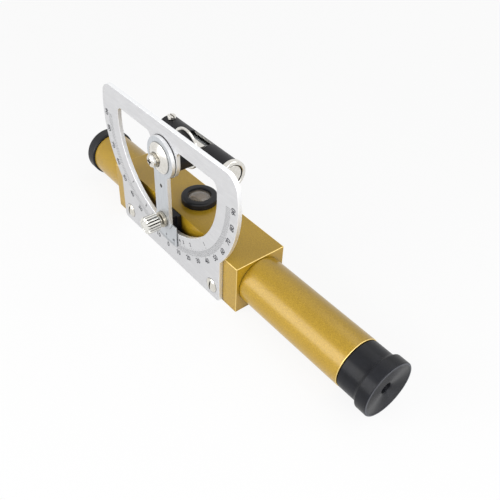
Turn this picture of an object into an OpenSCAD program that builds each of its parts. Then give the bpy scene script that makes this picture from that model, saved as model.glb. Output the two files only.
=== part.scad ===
// Hand-held clinometer level: a sight tube in a square housing, a graduated arc plate
// on its side, and an index arm that turns a bubble vial above the tube.
// Frame: +X towards the eyepiece, -Y towards the arc plate, +Z up, in millimetres.
// The origin is the middle of the housing's underside.

/* [Housing] */
// Length of the square housing along the sight line
block_len = 95; // [92:0.5:100]
// Width of the housing across the sight line
block_w = 25; // [24.5:0.1:25.6]
// Height of the housing
block_h = 24; // [23.6:0.1:24.2]
// Broken edge round the housing
block_edge = 0.5; // [0.3:0.1:0.8]
// Height of the sight line above the underside
sight_z = 12.3; // [12.2:0.05:12.4]
// Radius of the light path through the housing
sight_bore_r = 8.6; // [8.4:0.1:8.7]
// Radius of the sockets that take the two tubes
socket_r = 10; // [9.7:0.1:10.2]
// Depth of those sockets
socket_depth = 9.5; // [8:0.5:11]
// Depth of the relief behind the arc plate
relief_depth = 2.6; // [2.5:0.05:2.7]
// Radius of that relief about the pivot
relief_r = 42; // [41.5:0.1:42.4]

/* [Sight tubes] */
// Outer radius of both tubes
tube_r = 11; // [10.8:0.1:11.2]
// Bore radius of both tubes
tube_bore_r = 8; // [7.7:0.1:8.2]
// Showing length of the eyepiece tube
eye_tube_len = 56.5; // [50:0.5:62]
// Showing length of the objective tube
object_tube_len = 26.5; // [24:0.5:30]
// Broken edge on the tube ends
tube_edge = 0.3; // [0.2:0.1:0.5]

/* [Eyepiece] */
// Radius of the collar the eyecup is pushed over
cup_seat_r = 9.5; // [9.4:0.1:9.7]
// Length of that collar
cup_seat_len = 7; // [6:0.5:7.5]
// Outer radius of the eyecup's sleeve
cup_sleeve_r = 10.85; // [10.6:0.05:10.95]
// Length of the eyecup's sleeve
cup_sleeve_len = 10; // [9.6:0.1:10.4]
// Outer radius of the eyecup's rim
cup_rim_r = 12.2; // [12:0.1:12.2]
// Length of the eyecup's rim
cup_rim_len = 5.4; // [5:0.1:5.8]
// Rounding of the eyecup's rim
cup_round = 0.8; // [0.6:0.1:0.9]
// Radius of the dished face at the rim
dish_r = 11.1; // [10.8:0.1:11.1]
// Depth of the dished face
dish_depth = 1.1; // [0.8:0.1:1.4]
// Radius of the sight hole in the eyecup
peep_r = 2.2; // [1.8:0.1:2.6]
// Radius of the eye lens
eye_lens_r = 8.6; // [8.5:0.05:8.7]
// Thickness of the eye lens at its rim
eye_lens_t = 2.4; // [2.2:0.1:2.8]
// Height of the eye lens's bulged face
eye_lens_bulge = 1.1; // [0.8:0.1:1.3]
// Length of the ring that holds the eye lens
eye_ring_len = 2.5; // [2:0.1:3]
// Wall of that ring
eye_ring_wall = 1.2; // [1:0.1:1.5]

/* [Objective] */
// Radius of the collar the objective ring is pushed over
object_seat_r = 10.2; // [10:0.1:10.4]
// Length of that collar
object_seat_len = 3.5; // [3.2:0.1:3.8]
// Outer radius of the objective ring
object_ring_r = 12; // [11.8:0.1:12.2]
// Length of the objective ring
object_ring_len = 6; // [5.8:0.1:6.4]
// Rounding of the objective ring
object_ring_round = 0.8; // [0.6:0.1:1]
// Radius of the objective glass
object_glass_r = 9.4; // [9.2:0.1:9.6]
// Thickness of the objective glass
object_glass_t = 1.5; // [1.3:0.1:1.6]
// Clear radius in front of the objective glass
object_stop_r = 8.4; // [8.2:0.1:8.6]

/* [Arc plate] */
// Thickness of the arc plate
plate_t = 2; // [1.9:0.05:2.1]
// Height of the pivot above the housing's top
pivot_rise = 29.5; // [29.3:0.1:29.8]
// Outer radius of the graduated arc
arc_r = 49.5; // [48.5:0.1:50.5]
// Height of the plate's top edge above the pivot
plate_rise = 15; // [14:0.1:16]
// Rounding of the plate's top corners
plate_corner_r = 7; // [5:0.5:8]
// Half width of the plate's foot
foot_half_w = 38.5; // [37.5:0.5:39]
// Rounding of the foot's lower corners
foot_corner_r = 1.6; // [1:0.1:2.2]
// Radius of the window inside the arc
window_r = 36.5; // [36.3:0.1:36.8]
// Height of the window's top edge above the pivot
window_rise = 7; // [6.8:0.1:7.5]
// Rounding of the window's top corners
window_corner_r = 3; // [2:0.5:3]
// Half width of the tab that carries the pivot
tab_r = 9.5; // [9.2:0.1:9.8]
// Rounding where the tab meets the top bar
tab_fillet = 3; // [2:0.5:4]
// Half spacing of the plate's screws
plate_screw_x = 33; // [31.5:0.5:34]
// Height of the plate's screws above the underside
plate_screw_z = 5.9; // [5.6:0.1:6]

/* [Pivot] */
// Radius of the axle's bearing in the plate
journal_r = 4.45; // [4.2:0.05:4.8]
// Radius of the axle's front spigot in the arm
axle_front_r = 2.6; // [2.4:0.05:2.8]
// Radius of the axle's rear spigot in the hub
axle_rear_r = 3; // [2.7:0.05:3.3]
// Radius of the hub behind the plate
hub_r = 7.9; // [7.7:0.1:8.2]
// Thickness of the black friction washer
friction_t = 0.25; // [0.2:0.01:0.28]
// Radius of the friction washer
friction_r = 9.45; // [9.3:0.05:9.6]
// Radius of the domed washer
dome_r = 6.9; // [6.5:0.1:7.2]
// Height of the domed washer's straight edge
dome_edge = 0.45; // [0.4:0.05:0.6]
// Height of the domed washer
dome_h = 2.4; // [2.3:0.05:2.5]
// Height of the spring washer's seat in the domed washer
dome_seat = 1.5; // [1.4:0.05:1.6]
// Radius of the spring washer
spring_r = 3.1; // [2.9:0.05:3.2]
// Thickness of the spring washer
spring_t = 1.5; // [1.3:0.1:1.7]
// Radius of the pivot screw's head
pivot_head_r = 2.7; // [2.5:0.1:2.9]
// Height of the pivot screw's head
pivot_head_h = 1.9; // [1.7:0.1:2.1]
// Height of the rounded top of the pivot screw's head
pivot_head_dome = 0.7; // [0.5:0.05:0.8]
// Depth of the pivot screw's hole behind the plate
pivot_hole_depth = 3; // [2.8:0.1:4]
// Reach of the pivot screw behind the plate
pivot_screw_reach = 2.5; // [2:0.1:2.7]
// Width of the slit in the spring washer
spring_slit = 0.3; // [0.2:0.05:0.4]
// Distance by which the axle's ends stop short of the faces round them
axle_short = 0.2; // [0.1:0.05:0.3]

/* [Index arm] */
// Thickness of the index arm
arm_t = 1.7; // [1.6:0.05:1.8]
// Radius of the arm's round head
arm_head_r = 9.3; // [9.1:0.1:9.4]
// Width of the arm
arm_w = 10; // [9.6:0.1:10.6]
// Radius of the small dimple in the arm's face
dimple_r = 0.7; // [0.5:0.1:0.9]
// Distance of that dimple below the pivot
dimple_drop = 13.7; // [12:0.1:16]
// Thickness of the vernier plate
vernier_t = 0.6; // [0.5:0.02:0.66]
// Half width of the vernier plate
vernier_half_w = 8; // [7.4:0.1:8.4]
// Radius of the vernier's reading edge about the pivot
vernier_r = 43.6; // [43:0.1:44]
// Distance of the vernier's top edge below the pivot
vernier_top = 32.4; // [32.2:0.1:33]

/* [Clamp] */
// Distance of the clamp screw below the pivot
clamp_r = 31.3; // [31.2:0.05:31.4]
// Radius of the knurled knob
knob_r = 4; // [3.8:0.1:4.3]
// Length of the knurled knob
knob_len = 6.5; // [6:0.1:7]
// Number of ridges round the knob
knob_ridges = 18; // [16:1:20]
// Depth of the knob's ridges
knob_ridge_depth = 0.46; // [0.4:0.02:0.5]
// Radius of the knob's neck
neck_r = 2.3; // [2.1:0.1:2.6]
// Length of the knob's neck
neck_len = 1.4; // [1.2:0.1:1.6]
// Radius of the collar on the arm
collar_r = 3.6; // [3.3:0.1:3.8]
// Length of the collar on the arm
collar_len = 1.5; // [1.3:0.1:1.7]
// Radius of the clamp screw's stud
stud_r = 1.5; // [1.4:0.05:1.6]
// Half width of the jaw behind the plate
jaw_half_w = 4.9; // [4.7:0.1:5.1]
// Thickness of the jaw
jaw_t = 1.8; // [1.75:0.01:1.85]
// Radius of the jaw's outer edge about the pivot
jaw_outer_r = 40.2; // [39.8:0.1:40.4]
// Distance of the jaw's top edge below the pivot
jaw_top = 29.2; // [29.1:0.05:29.3]
// Half width of the jaw's boss in the window
boss_half_w = 4; // [3.6:0.1:4.1]
// Gap between the loosened jaw and the plate
jaw_gap = 0.25; // [0.24:0.01:0.26]
// Gap between the jaw's boss and the window
boss_gap = 0.4; // [0.35:0.05:0.6]
// Broken edge of the knob
knob_edge = 0.6; // [0.4:0.1:0.8]
// Broken edge of the collar
collar_edge = 0.2; // [0.1:0.05:0.3]

/* [Bubble vial] */
// Distance of the vial's axis behind the sight line
vial_y = 3.2; // [3.1:0.05:3.4]
// Distance of the vial's axis below the pivot
vial_drop = 3.5; // [3.3:0.1:3.6]
// Outer radius of the vial's holder
holder_r = 6.2; // [6.1:0.05:6.25]
// Bore radius of the holder
holder_bore_r = 5.2; // [5.15:0.05:5.3]
// Half length of the holder
holder_half_len = 24; // [23.5:0.1:24.2]
// Half length of the holder's windows
holder_window_half_len = 7; // [6:0.5:7.4]
// Half width of the holder's windows
holder_window_half_w = 4.2; // [4:0.1:4.3]
// Radius of the bright ring on the holder's near end
end_ring_r = 6.6; // [6.45:0.05:6.65]
// Length of that ring
end_ring_len = 2.5; // [2.3:0.1:2.7]
// Radius of the plug inside that ring
end_plug_r = 4.5; // [4.3:0.1:4.6]
// Gap round that plug, and its setback from the ring's end
end_plug_gap = 0.4; // [0.3:0.05:0.5]
// Radius of that plug's shank
end_shank_r = 3.5; // [3.2:0.1:3.8]
// Length of the ring's spigot in the holder
end_spigot_len = 2; // [1.6:0.1:2.2]
// Length of the plug in the holder's far end
far_plug_len = 1.4; // [1.2:0.1:1.5]
// Outer radius of the sleeve that carries the glass vial
sleeve_r = 4.85; // [4.8:0.01:4.87]
// Length of that sleeve
sleeve_len = 39.5; // [39:0.1:39.8]
// Reach of the sleeve on the near side of the holder's middle
sleeve_reach = 17.3; // [17:0.1:17.6]
// Outer radius of the glass vial
vial_r = 4.4; // [4.3:0.02:4.46]
// Wall of the glass vial
vial_wall = 0.6; // [0.5:0.05:0.7]
// Half length of the glass vial
vial_half_len = 16.5; // [16:0.1:16.8]
// Length of the seat the sleeve rocks in
seat_len = 3; // [2.5:0.1:3.4]
// Width of the bubble in the vial
bubble_w = 3.4; // [3:0.1:3.6]
// Length of the bubble in the vial
bubble_len = 9; // [7:0.5:11]
// Half width of the saddle under the holder
saddle_half_w = 7.5; // [7:0.1:8]
// Reach of the saddle above the vial's axis
saddle_rise = 6.8; // [6.5:0.1:7]
// Reach of the saddle below the vial's axis
saddle_drop = 1.3; // [1.2:0.1:1.6]
// Reach of the saddle behind its flange
saddle_reach = 3.4; // [3:0.1:3.6]
// Radius of the saddle's round flange
flange_r = 9.1; // [8.8:0.1:9.4]
// Thickness of that flange
flange_t = 1.5; // [1.4:0.05:1.6]
// Thickness of the flange left in front of the holder
saddle_bed = 0.95; // [0.8:0.05:1.1]
// Distance of the adjusting screw from the holder's middle
adjuster_x = 20.4; // [20.2:0.1:20.6]
// Radius of the adjusting screw's stem
adjuster_r = 1; // [0.9:0.05:1.1]
// Room left for the sleeve to rock under the adjusting screw
adjuster_room = 0.3; // [0.28:0.01:0.33]
// Broken edge of the adjusting screw's head
adjuster_edge = 0.25; // [0.2:0.05:0.3]
// Radius of the adjusting screw's head
adjuster_head_r = 1.9; // [1.7:0.1:2.1]
// Height of the adjusting screw's head
adjuster_head_h = 1.6; // [1.4:0.1:1.8]

/* [Bubble lens] */
// Outer radius of the lens ring on the housing
lens_ring_r = 8.3; // [8:0.1:8.4]
// Height of the lens ring above the housing
lens_ring_h = 3.1; // [3:0.05:3.2]
// Rounding of the lens ring's lip
lens_ring_round = 0.9; // [0.7:0.1:1]
// Radius of the opening in the lens ring
lens_open_r = 5.3; // [5.2:0.05:5.4]
// Radius of the lens ring's spigot in the housing
lens_spigot_r = 6.6; // [6.5:0.05:6.8]
// Radius of the lens under the opening
lens_r = 5.8; // [5.7:0.05:5.9]
// Thickness of the lens at its rim
lens_t = 1.2; // [1.1:0.05:1.3]
// Height of the lens's bulged face
lens_bulge = 1; // [0.8:0.1:1.2]
// Height of the lens's seat above the housing
lens_lift = 1.9; // [1.8:0.1:2]
// Depth of the lens ring's spigot in the housing
lens_spigot_len = 2.2; // [2:0.1:2.4]

/* [Inside the sight tube] */
// Place of the sighting ring along the sight line
reticle_x = 26; // [22:0.5:30]
// Length of the sighting ring
reticle_len = 2; // [1.6:0.1:2.4]
// Clear radius of the sighting ring
reticle_open_r = 6.8; // [6.4:0.1:7.2]
// Radius of the sighting wire
wire_r = 0.1; // [0.08:0.01:0.15]
// Length of wire held at each side of the sighting ring
wire_hold = 1; // [0.8:0.1:1.2]
// Thickness of the bubble mirror
mirror_t = 1; // [0.8:0.05:1.2]
// Gap between the mirror's edge and the middle of the view
mirror_edge_y = 0.4; // [0.3:0.1:0.8]
// Half length of the mirror's carrier
carrier_half_len = 10.6; // [10:0.1:12]

/* [Screws] */
// Thread radius of the plate's screws and the pivot screw
screw_r = 1.5; // [1.4:0.05:1.55]
// Head radius of the plate's screws
screw_head_r = 3.4; // [3.2:0.05:3.5]
// Depth of the sunk part of those heads
screw_cone = 1.35; // [1.2:0.05:1.5]
// Height of the rounded top of those heads
screw_dome = 1.1; // [0.9:0.05:1.2]
// Length of the plate's screws in the housing
screw_len = 3.8; // [3.5:0.1:4]
// Width of the slots in the screw heads
slot_w = 0.8; // [0.6:0.1:0.9]
// Depth of those slots
slot_depth = 0.6; // [0.5:0.05:0.65]

/* [Fits] */
// Radial clearance of pieces that are fixed in each other
seat_gap = 0.02; // [0.01:0.01:0.03]
// Radial clearance of pieces that turn in each other
run_gap = 0.05; // [0.04:0.01:0.08]
// Gap between flat faces that pass each other
face_gap = 0.05; // [0.04:0.01:0.06]

/* [Hidden] */
$fn = 64;
fine = 256;
eps = 0.01;
past = 1;

half_len = block_len / 2;
pivot_z = block_h + pivot_rise;
front_y = -block_w / 2;
plate_front_y = front_y - plate_t;
arm_back_y = plate_front_y - friction_t - face_gap;
arm_front_y = arm_back_y - arm_t;
dome_floor_y = arm_front_y - dome_seat;
spring_front_y = dome_floor_y - spring_t;
hub_front_y = front_y + face_gap;
hub_back_y = vial_y - holder_r - saddle_bed;
flange_back_y = hub_back_y + flange_t;
axle_back_y = vial_y - holder_r - axle_short;
axle_front_y = arm_front_y + axle_short;
vernier_back_y = plate_front_y - 2 * face_gap;
vernier_front_y = vernier_back_y - vernier_t;

clamp_z = pivot_z - clamp_r;
collar_front_y = arm_front_y - collar_len;
neck_back_y = collar_front_y - 2 * face_gap;
knob_back_y = neck_back_y - neck_len;
jaw_front_y = front_y + jaw_gap;
jaw_back_y = jaw_front_y + jaw_t;
boss_front_y = plate_front_y + jaw_gap;
boss_outer_r = window_r - boss_gap;
stud_front_y = knob_back_y - knob_len / 2;
stud_back_y = jaw_back_y - run_gap;

vial_z = pivot_z - vial_drop;
near_ring_x = holder_half_len - end_ring_len;
end_floor = end_ring_len / 2;
seat_x = sleeve_reach - seat_len;

eye_end_x = half_len + eye_tube_len;
eye_seat_x = eye_end_x + cup_seat_len;
eye_lens_x = eye_seat_x - eye_ring_len - eye_lens_t;
object_end_x = -half_len - object_tube_len;
object_seat_x = object_end_x - object_seat_len;
spigot_end_x = half_len - socket_depth;
screw_hole_r = screw_r + 3 * run_gap;
washer_hole_r = screw_r + 2 * run_gap;

// Placing helpers

// Stands children along +X from x, on a line at y and z
module along_x(x, y = 0, z = sight_z) {
    translate([x, y, z]) rotate([0, 90, 0]) children();
}

// Draws children in X and Z about height z and raises them towards -Y from y
module outward(y, z = 0) {
    translate([0, y, z]) rotate([90, 0, 0]) children();
}

// A ring about its own Z axis
module ring(outer, inner, h) {
    difference() {
        cylinder(h = h, r = outer);
        translate([0, 0, -past]) cylinder(h = h + 2 * past, r = inner);
    }
}

// A cylinder with both rims broken by a chamfer
module chamfered(r, h, c) {
    rotate_extrude() polygon([[0, 0], [r - c, 0], [r, c], [r, h - c], [r - c, h], [0, h]]);
}

// A rectangle from the corner with true round corners
module round_rect(w, h, r) {
    translate([r, 0]) square([w - 2 * r, h]);
    translate([0, r]) square([w, h - 2 * r]);
    for (x = [r, w - r], y = [r, h - r]) translate([x, y]) circle(r);
}

// A rectangle about the middle with its corners cut off
module cut_rect(w, h, c) {
    a = w / 2;
    b = h / 2;
    polygon([[-a + c, -b], [a - c, -b], [a, -b + c], [a, b - c],
             [a - c, b], [-a + c, b], [-a, b - c], [-a, -b + c]]);
}

// The waste outside a corner rounding of radius r, where an arc of radius big meets a top edge
module arc_corner_waste(big, top, r) {
    z = top - r;
    x = sqrt(pow(big - r, 2) - z * z);
    k = (big + 2 * past) / (big - r);
    difference() {
        polygon([[x, z], [x, top + past], [k * x + past, top + past], [k * x, k * z]]);
        translate([x, z]) circle(r);
    }
}

// A disc of radius r cut level at height top, with its two corners rounded
module cut_disc(r, top, corner) {
    difference() {
        intersection() {
            circle(r);
            translate([-r, -r]) square([2 * r, r + top]);
        }
        for (side = [0, 1]) mirror([side, 0]) arc_corner_waste(r, top, corner);
    }
}

// Housing and sight tube

module housing() {
    color("#b8964a") difference() {
        housing_blank();
        along_x(-half_len - past) cylinder(h = block_len + 2 * past, r = sight_bore_r);
        for (side = [0, 1]) mirror([side, 0, 0])
            along_x(spigot_end_x) cylinder(h = socket_depth + past, r = socket_r);
        outward(front_y + relief_depth, pivot_z) cylinder(h = relief_depth + past, r = relief_r);
        translate([0, vial_y, block_h - lens_spigot_len - eps])
            cylinder(h = lens_spigot_len + past, r = lens_spigot_r);
        translate([0, vial_y, sight_z]) cylinder(h = block_h, r = lens_open_r);
        for (x = [-1, 1] * plate_screw_x) translate([x, 0, 0])
            outward(front_y + screw_len + past / 2, plate_screw_z)
                cylinder(h = screw_len + past, r = screw_r);
    }
}

module housing_blank() {
    translate([0, 0, block_h / 2]) intersection() {
        rotate([0, 90, 0]) linear_extrude(block_len, center = true)
            cut_rect(block_h, block_w, block_edge);
        rotate([90, 0, 0]) linear_extrude(block_w, center = true)
            cut_rect(block_len, block_h, block_edge);
        linear_extrude(block_h, center = true) cut_rect(block_len, block_w, block_edge);
    }
}

module eyepiece_tube() {
    color("#bd9b4c") difference() {
        union() {
            along_x(half_len) chamfered(tube_r, eye_tube_len, tube_edge);
            along_x(spigot_end_x) cylinder(h = socket_depth + past, r = socket_r - seat_gap);
            along_x(eye_end_x - past) cylinder(h = cup_seat_len + past, r = cup_seat_r);
        }
        along_x(spigot_end_x - past)
            cylinder(h = eye_seat_x - spigot_end_x + 2 * past, r = tube_bore_r);
        along_x(eye_lens_x) cylinder(h = eye_seat_x - eye_lens_x + past, r = eye_lens_r + seat_gap);
    }
}

module objective_tube() {
    color("#bd9b4c") difference() {
        union() {
            along_x(object_end_x) chamfered(tube_r, object_tube_len, tube_edge);
            along_x(-half_len - past) cylinder(h = socket_depth + past, r = socket_r - seat_gap);
            along_x(object_seat_x) cylinder(h = object_seat_len + past, r = object_seat_r);
        }
        along_x(object_seat_x - past)
            cylinder(h = -spigot_end_x - object_seat_x + 2 * past, r = tube_bore_r);
    }
}

module eyecup() {
    bore_r = cup_seat_r + seat_gap;
    rim_x = cup_sleeve_len - cup_round;
    full = cup_sleeve_len + cup_rim_len;
    color("#2b2c30") along_x(eye_end_x) difference() {
        rotate_extrude() intersection() {
            union() {
                square([cup_sleeve_r, full - cup_round]);
                translate([0, rim_x]) round_rect(cup_rim_r, full - rim_x, cup_round);
            }
            square([cup_rim_r, full]);
        }
        translate([0, 0, -past]) cylinder(h = cup_seat_len + past, r = bore_r);
        cylinder(h = full + past, r = peep_r);
        translate([0, 0, full]) mirror([0, 0, 1]) low_dome(dish_r, dish_depth);
    }
}

// A low round top on its own Z axis
module low_dome(r, h) {
    ball = (r * r + h * h) / (2 * h);
    rotate_extrude() intersection() {
        translate([0, h - ball]) circle(ball, $fn = fine);
        square([r, h]);
    }
}

// A round lens on its own Z axis with one bulged face
module bulged_lens(r, rim_t, face_r, bulge) {
    cylinder(h = rim_t, r = r);
    translate([0, 0, rim_t]) low_dome(face_r, bulge);
}

module eye_lens() {
    color("#c9d6d8", 0.5) along_x(eye_lens_x)
        bulged_lens(eye_lens_r, eye_lens_t, eye_lens_r - eye_ring_wall - run_gap, eye_lens_bulge);
}

module eye_lens_ring() {
    color("#1c1c1e") along_x(eye_lens_x + eye_lens_t)
        ring(eye_lens_r, eye_lens_r - eye_ring_wall, eye_ring_len);
}

module objective_ring() {
    front_x = object_end_x - object_ring_len;
    glass_x = object_seat_x - object_glass_t;
    color("#232327") difference() {
        along_x(front_x) rotate_extrude() intersection() {
            translate([-object_ring_r, 0]) round_rect(2 * object_ring_r, object_ring_len, object_ring_round);
            square([object_ring_r, object_ring_len]);
        }
        along_x(front_x - past) cylinder(h = object_ring_len, r = object_stop_r);
        along_x(glass_x - eps) cylinder(h = object_ring_len, r = object_glass_r + seat_gap);
        along_x(object_seat_x) cylinder(h = object_ring_len, r = object_seat_r + seat_gap);
    }
}

module objective_glass() {
    color("#c9d6d8", 0.5) along_x(object_seat_x - object_glass_t)
        cylinder(h = object_glass_t - eps, r = object_glass_r);
}

module sighting_ring() {
    color("#b08d45") difference() {
        along_x(reticle_x) ring(sight_bore_r - seat_gap, reticle_open_r, reticle_len);
        translate([reticle_x + reticle_len / 2, 0, sight_z]) rotate([90, 0, 0])
            cylinder(h = 2 * sight_bore_r, r = wire_r + seat_gap, center = true);
    }
}

module sighting_wire() {
    color("#2a2a2a") translate([reticle_x + reticle_len / 2, 0, sight_z]) rotate([90, 0, 0])
        cylinder(h = 2 * (reticle_open_r + wire_hold), r = wire_r, center = true);
}

// Half of the light path, from the mirror's edge to the wall behind
module mirror_half(r, half_length) {
    intersection() {
        along_x(-half_length) cylinder(h = 2 * half_length, r = r);
        translate([-half_length, mirror_edge_y, sight_z - r]) cube([2 * half_length, r, 2 * r]);
    }
}

// The slope at 45 degrees that turns the view of the bubble towards the eye
module slope(from, thick) {
    translate([0, 0, sight_z]) rotate([0, 45, 0])
        translate([-2 * sight_bore_r, -block_w, from - thick])
            cube([4 * sight_bore_r, 2 * block_w, thick]);
}

module mirror_carrier() {
    color("#1f1f22") intersection() {
        mirror_half(sight_bore_r - seat_gap, carrier_half_len);
        slope(-mirror_t, 4 * sight_bore_r);
    }
}

module bubble_mirror() {
    color("#d8dcde") intersection() {
        mirror_half(sight_bore_r - 4 * seat_gap, 2 * sight_bore_r);
        slope(0, mirror_t);
    }
}

module lens_ring() {
    color("#232327") translate([0, vial_y, block_h]) difference() {
        union() {
            rotate_extrude() intersection() {
                translate([-lens_ring_r, -lens_ring_h])
                    round_rect(2 * lens_ring_r, 2 * lens_ring_h, lens_ring_round);
                square([lens_ring_r, lens_ring_h]);
            }
            translate([0, 0, -lens_spigot_len])
                cylinder(h = lens_spigot_len + eps, r = lens_spigot_r - seat_gap);
        }
        translate([0, 0, -lens_spigot_len - past]) cylinder(h = block_h, r = lens_open_r);
        translate([0, 0, -lens_spigot_len - past])
            cylinder(h = past + lens_spigot_len + lens_lift, r = lens_r + seat_gap);
    }
}

module bubble_lens() {
    color("#c9d6d8", 0.5) translate([0, vial_y, block_h + lens_lift - lens_t])
        bulged_lens(lens_r, lens_t, lens_open_r - run_gap, lens_bulge);
}

// Arc plate

module arc_plate_outline() {
    cut_disc(arc_r, plate_rise, plate_corner_r);
    translate([-foot_half_w, -pivot_z]) round_rect(2 * foot_half_w, pivot_z, foot_corner_r);
}

module arc_plate_window() {
    difference() {
        cut_disc(window_r, window_rise, window_corner_r);
        circle(tab_r);
        translate([-tab_r, 0]) square([2 * tab_r, window_rise + past]);
        for (side = [0, 1]) mirror([side, 0]) difference() {
            translate([tab_r - eps, window_rise - tab_fillet]) square(tab_fillet + past);
            translate([tab_r + tab_fillet, window_rise - tab_fillet]) circle(tab_fillet);
        }
    }
}

module arc_plate() {
    color("#d9dadb") difference() {
        outward(front_y, pivot_z) linear_extrude(plate_t) difference() {
            arc_plate_outline();
            arc_plate_window();
            circle(journal_r + run_gap);
        }
        for (x = [-1, 1] * plate_screw_x) translate([x, 0, 0]) {
            outward(front_y + past, plate_screw_z) cylinder(h = plate_t + 2 * past, r = screw_hole_r);
            outward(plate_front_y + screw_cone, plate_screw_z)
                cylinder(h = screw_cone + eps, r1 = screw_hole_r, r2 = screw_head_r + 2 * run_gap);
        }
    }
}

module plate_screws() {
    color("#c8c2b2") for (x = [-1, 1] * plate_screw_x) translate([x, 0, 0]) {
        outward(front_y + screw_len, plate_screw_z)
            cylinder(h = screw_len + plate_t - screw_cone + eps, r = screw_r - seat_gap);
        difference() {
            union() {
                outward(plate_front_y + screw_cone, plate_screw_z)
                    cylinder(h = screw_cone, r1 = screw_r - seat_gap, r2 = screw_head_r);
                outward(plate_front_y, plate_screw_z) low_dome(screw_head_r, screw_dome);
            }
            outward(plate_front_y - screw_dome + slot_depth, plate_screw_z)
                translate([-screw_head_r, -slot_w / 2, 0]) cube([2 * screw_head_r, slot_w, past]);
        }
    }
}

// Pivot

module pivot_axle() {
    color("#b9bbbd") difference() {
        union() {
            outward(hub_front_y, pivot_z) cylinder(h = hub_front_y - arm_back_y, r = journal_r);
            outward(arm_back_y + eps, pivot_z)
                cylinder(h = arm_back_y - axle_front_y + eps, r = axle_front_r);
            outward(axle_back_y, pivot_z) cylinder(h = axle_back_y - hub_front_y + eps, r = axle_rear_r);
        }
        outward(hub_front_y + pivot_hole_depth, pivot_z) cylinder(h = block_w, r = screw_r);
    }
}

module friction_washer() {
    color("#161617") outward(plate_front_y - face_gap, pivot_z)
        ring(friction_r, journal_r + run_gap, friction_t);
}

module index_arm() {
    color("#c3c5c8") difference() {
        outward(arm_back_y, pivot_z) linear_extrude(arm_t) difference() {
            union() {
                circle(arm_head_r);
                translate([-arm_w / 2, -clamp_r]) square([arm_w, clamp_r]);
                translate([0, -clamp_r]) circle(arm_w / 2);
            }
            circle(axle_front_r + seat_gap);
            translate([0, -clamp_r]) circle(stud_r + run_gap);
        }
        outward(arm_front_y + dimple_r, pivot_z - dimple_drop)
            cylinder(h = dimple_r, r1 = 0, r2 = dimple_r);
        outward(arm_back_y + past, pivot_z) linear_extrude(past + arm_back_y - vernier_front_y)
            translate([-arm_w, -vernier_top - arm_w]) square([2 * arm_w, arm_w]);
    }
}

module vernier_plate() {
    color("#cfd1d3") outward(vernier_back_y, pivot_z) linear_extrude(vernier_t) difference() {
        intersection() {
            circle(vernier_r);
            translate([-vernier_half_w, -vernier_r]) square([2 * vernier_half_w, vernier_r - vernier_top]);
        }
        translate([0, -clamp_r]) circle(stud_r + run_gap);
    }
}

module domed_washer() {
    color("#e2e2e0") outward(arm_front_y, pivot_z) difference() {
        union() {
            cylinder(h = dome_edge, r = dome_r);
            translate([0, 0, dome_edge - eps]) low_dome(dome_r, dome_h - dome_edge);
        }
        translate([0, 0, -past]) cylinder(h = dome_h + 2 * past, r = washer_hole_r);
        translate([0, 0, dome_seat]) cylinder(h = dome_h, r = spring_r + 4 * run_gap);
    }
}

module spring_washer() {
    color("#a9a294") outward(dome_floor_y, pivot_z) difference() {
        ring(spring_r, washer_hole_r, spring_t);
        rotate([0, 0, 45]) translate([spring_r, 0, spring_t / 2]) rotate([30, 0, 0])
            cube([2 * (spring_r - past), spring_slit, 3 * spring_t], center = true);
    }
}

module pivot_screw() {
    color("#d8d4c8") difference() {
        union() {
            outward(spring_front_y, pivot_z) {
                cylinder(h = pivot_head_h - pivot_head_dome, r = pivot_head_r);
                translate([0, 0, pivot_head_h - pivot_head_dome - eps]) low_dome(pivot_head_r, pivot_head_dome);
            }
            outward(hub_front_y + pivot_screw_reach, pivot_z)
                cylinder(h = hub_front_y + pivot_screw_reach - spring_front_y + eps, r = screw_r - seat_gap);
        }
        for (turn = [0, 90])
            outward(spring_front_y - pivot_head_h + 2 * slot_depth, pivot_z) rotate([0, 0, turn])
                translate([-pivot_head_r / 2, -slot_w / 2, 0]) cube([pivot_head_r, slot_w, 2 * past]);
    }
}

module pivot_hub() {
    color("#1d1d20") outward(hub_back_y, pivot_z)
        ring(hub_r, axle_rear_r + seat_gap, hub_back_y - hub_front_y);
}

// Vial

module vial_saddle() {
    color("#d3d4d5") difference() {
        union() {
            outward(flange_back_y, pivot_z) cylinder(h = flange_t, r = flange_r);
            translate([-saddle_half_w, hub_back_y + flange_t / 2, vial_z - saddle_drop])
                cube([2 * saddle_half_w, flange_t / 2 + saddle_reach, saddle_rise + saddle_drop]);
        }
        outward(axle_back_y, pivot_z) cylinder(h = block_w, r = axle_rear_r + seat_gap);
        along_x(-block_len, vial_y, vial_z) cylinder(h = 2 * block_len, r = holder_r + seat_gap);
    }
}

module vial_holder() {
    color("#202126") difference() {
        along_x(-holder_half_len, vial_y, vial_z)
            ring(holder_r, holder_bore_r, holder_half_len + near_ring_x);
        vial_windows();
        translate([-adjuster_x, vial_y, vial_z]) cylinder(h = 2 * holder_r, r = adjuster_r + run_gap);
    }
}

module vial_end_ring() {
    color("#dcdcda") along_x(near_ring_x, vial_y, vial_z) difference() {
        union() {
            chamfered(end_ring_r, end_ring_len, tube_edge);
            translate([0, 0, -end_spigot_len]) cylinder(h = end_ring_len, r = holder_bore_r - seat_gap);
        }
        translate([0, 0, -past - end_spigot_len]) cylinder(h = block_w, r = end_shank_r);
        translate([0, 0, end_floor]) cylinder(h = end_ring_len, r = end_plug_r + end_plug_gap);
    }
}

module vial_end_plug() {
    color("#d6d6d3") along_x(near_ring_x, vial_y, vial_z) {
        translate([0, 0, -end_spigot_len])
            cylinder(h = end_spigot_len + end_floor + eps, r = end_shank_r - seat_gap);
        translate([0, 0, end_floor])
            chamfered(end_plug_r, end_ring_len - end_floor - end_plug_gap, collar_edge);
    }
}

module vial_far_plug() {
    color("#202126") along_x(-holder_half_len, vial_y, vial_z)
        cylinder(h = far_plug_len, r = holder_bore_r - seat_gap);
}

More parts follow.
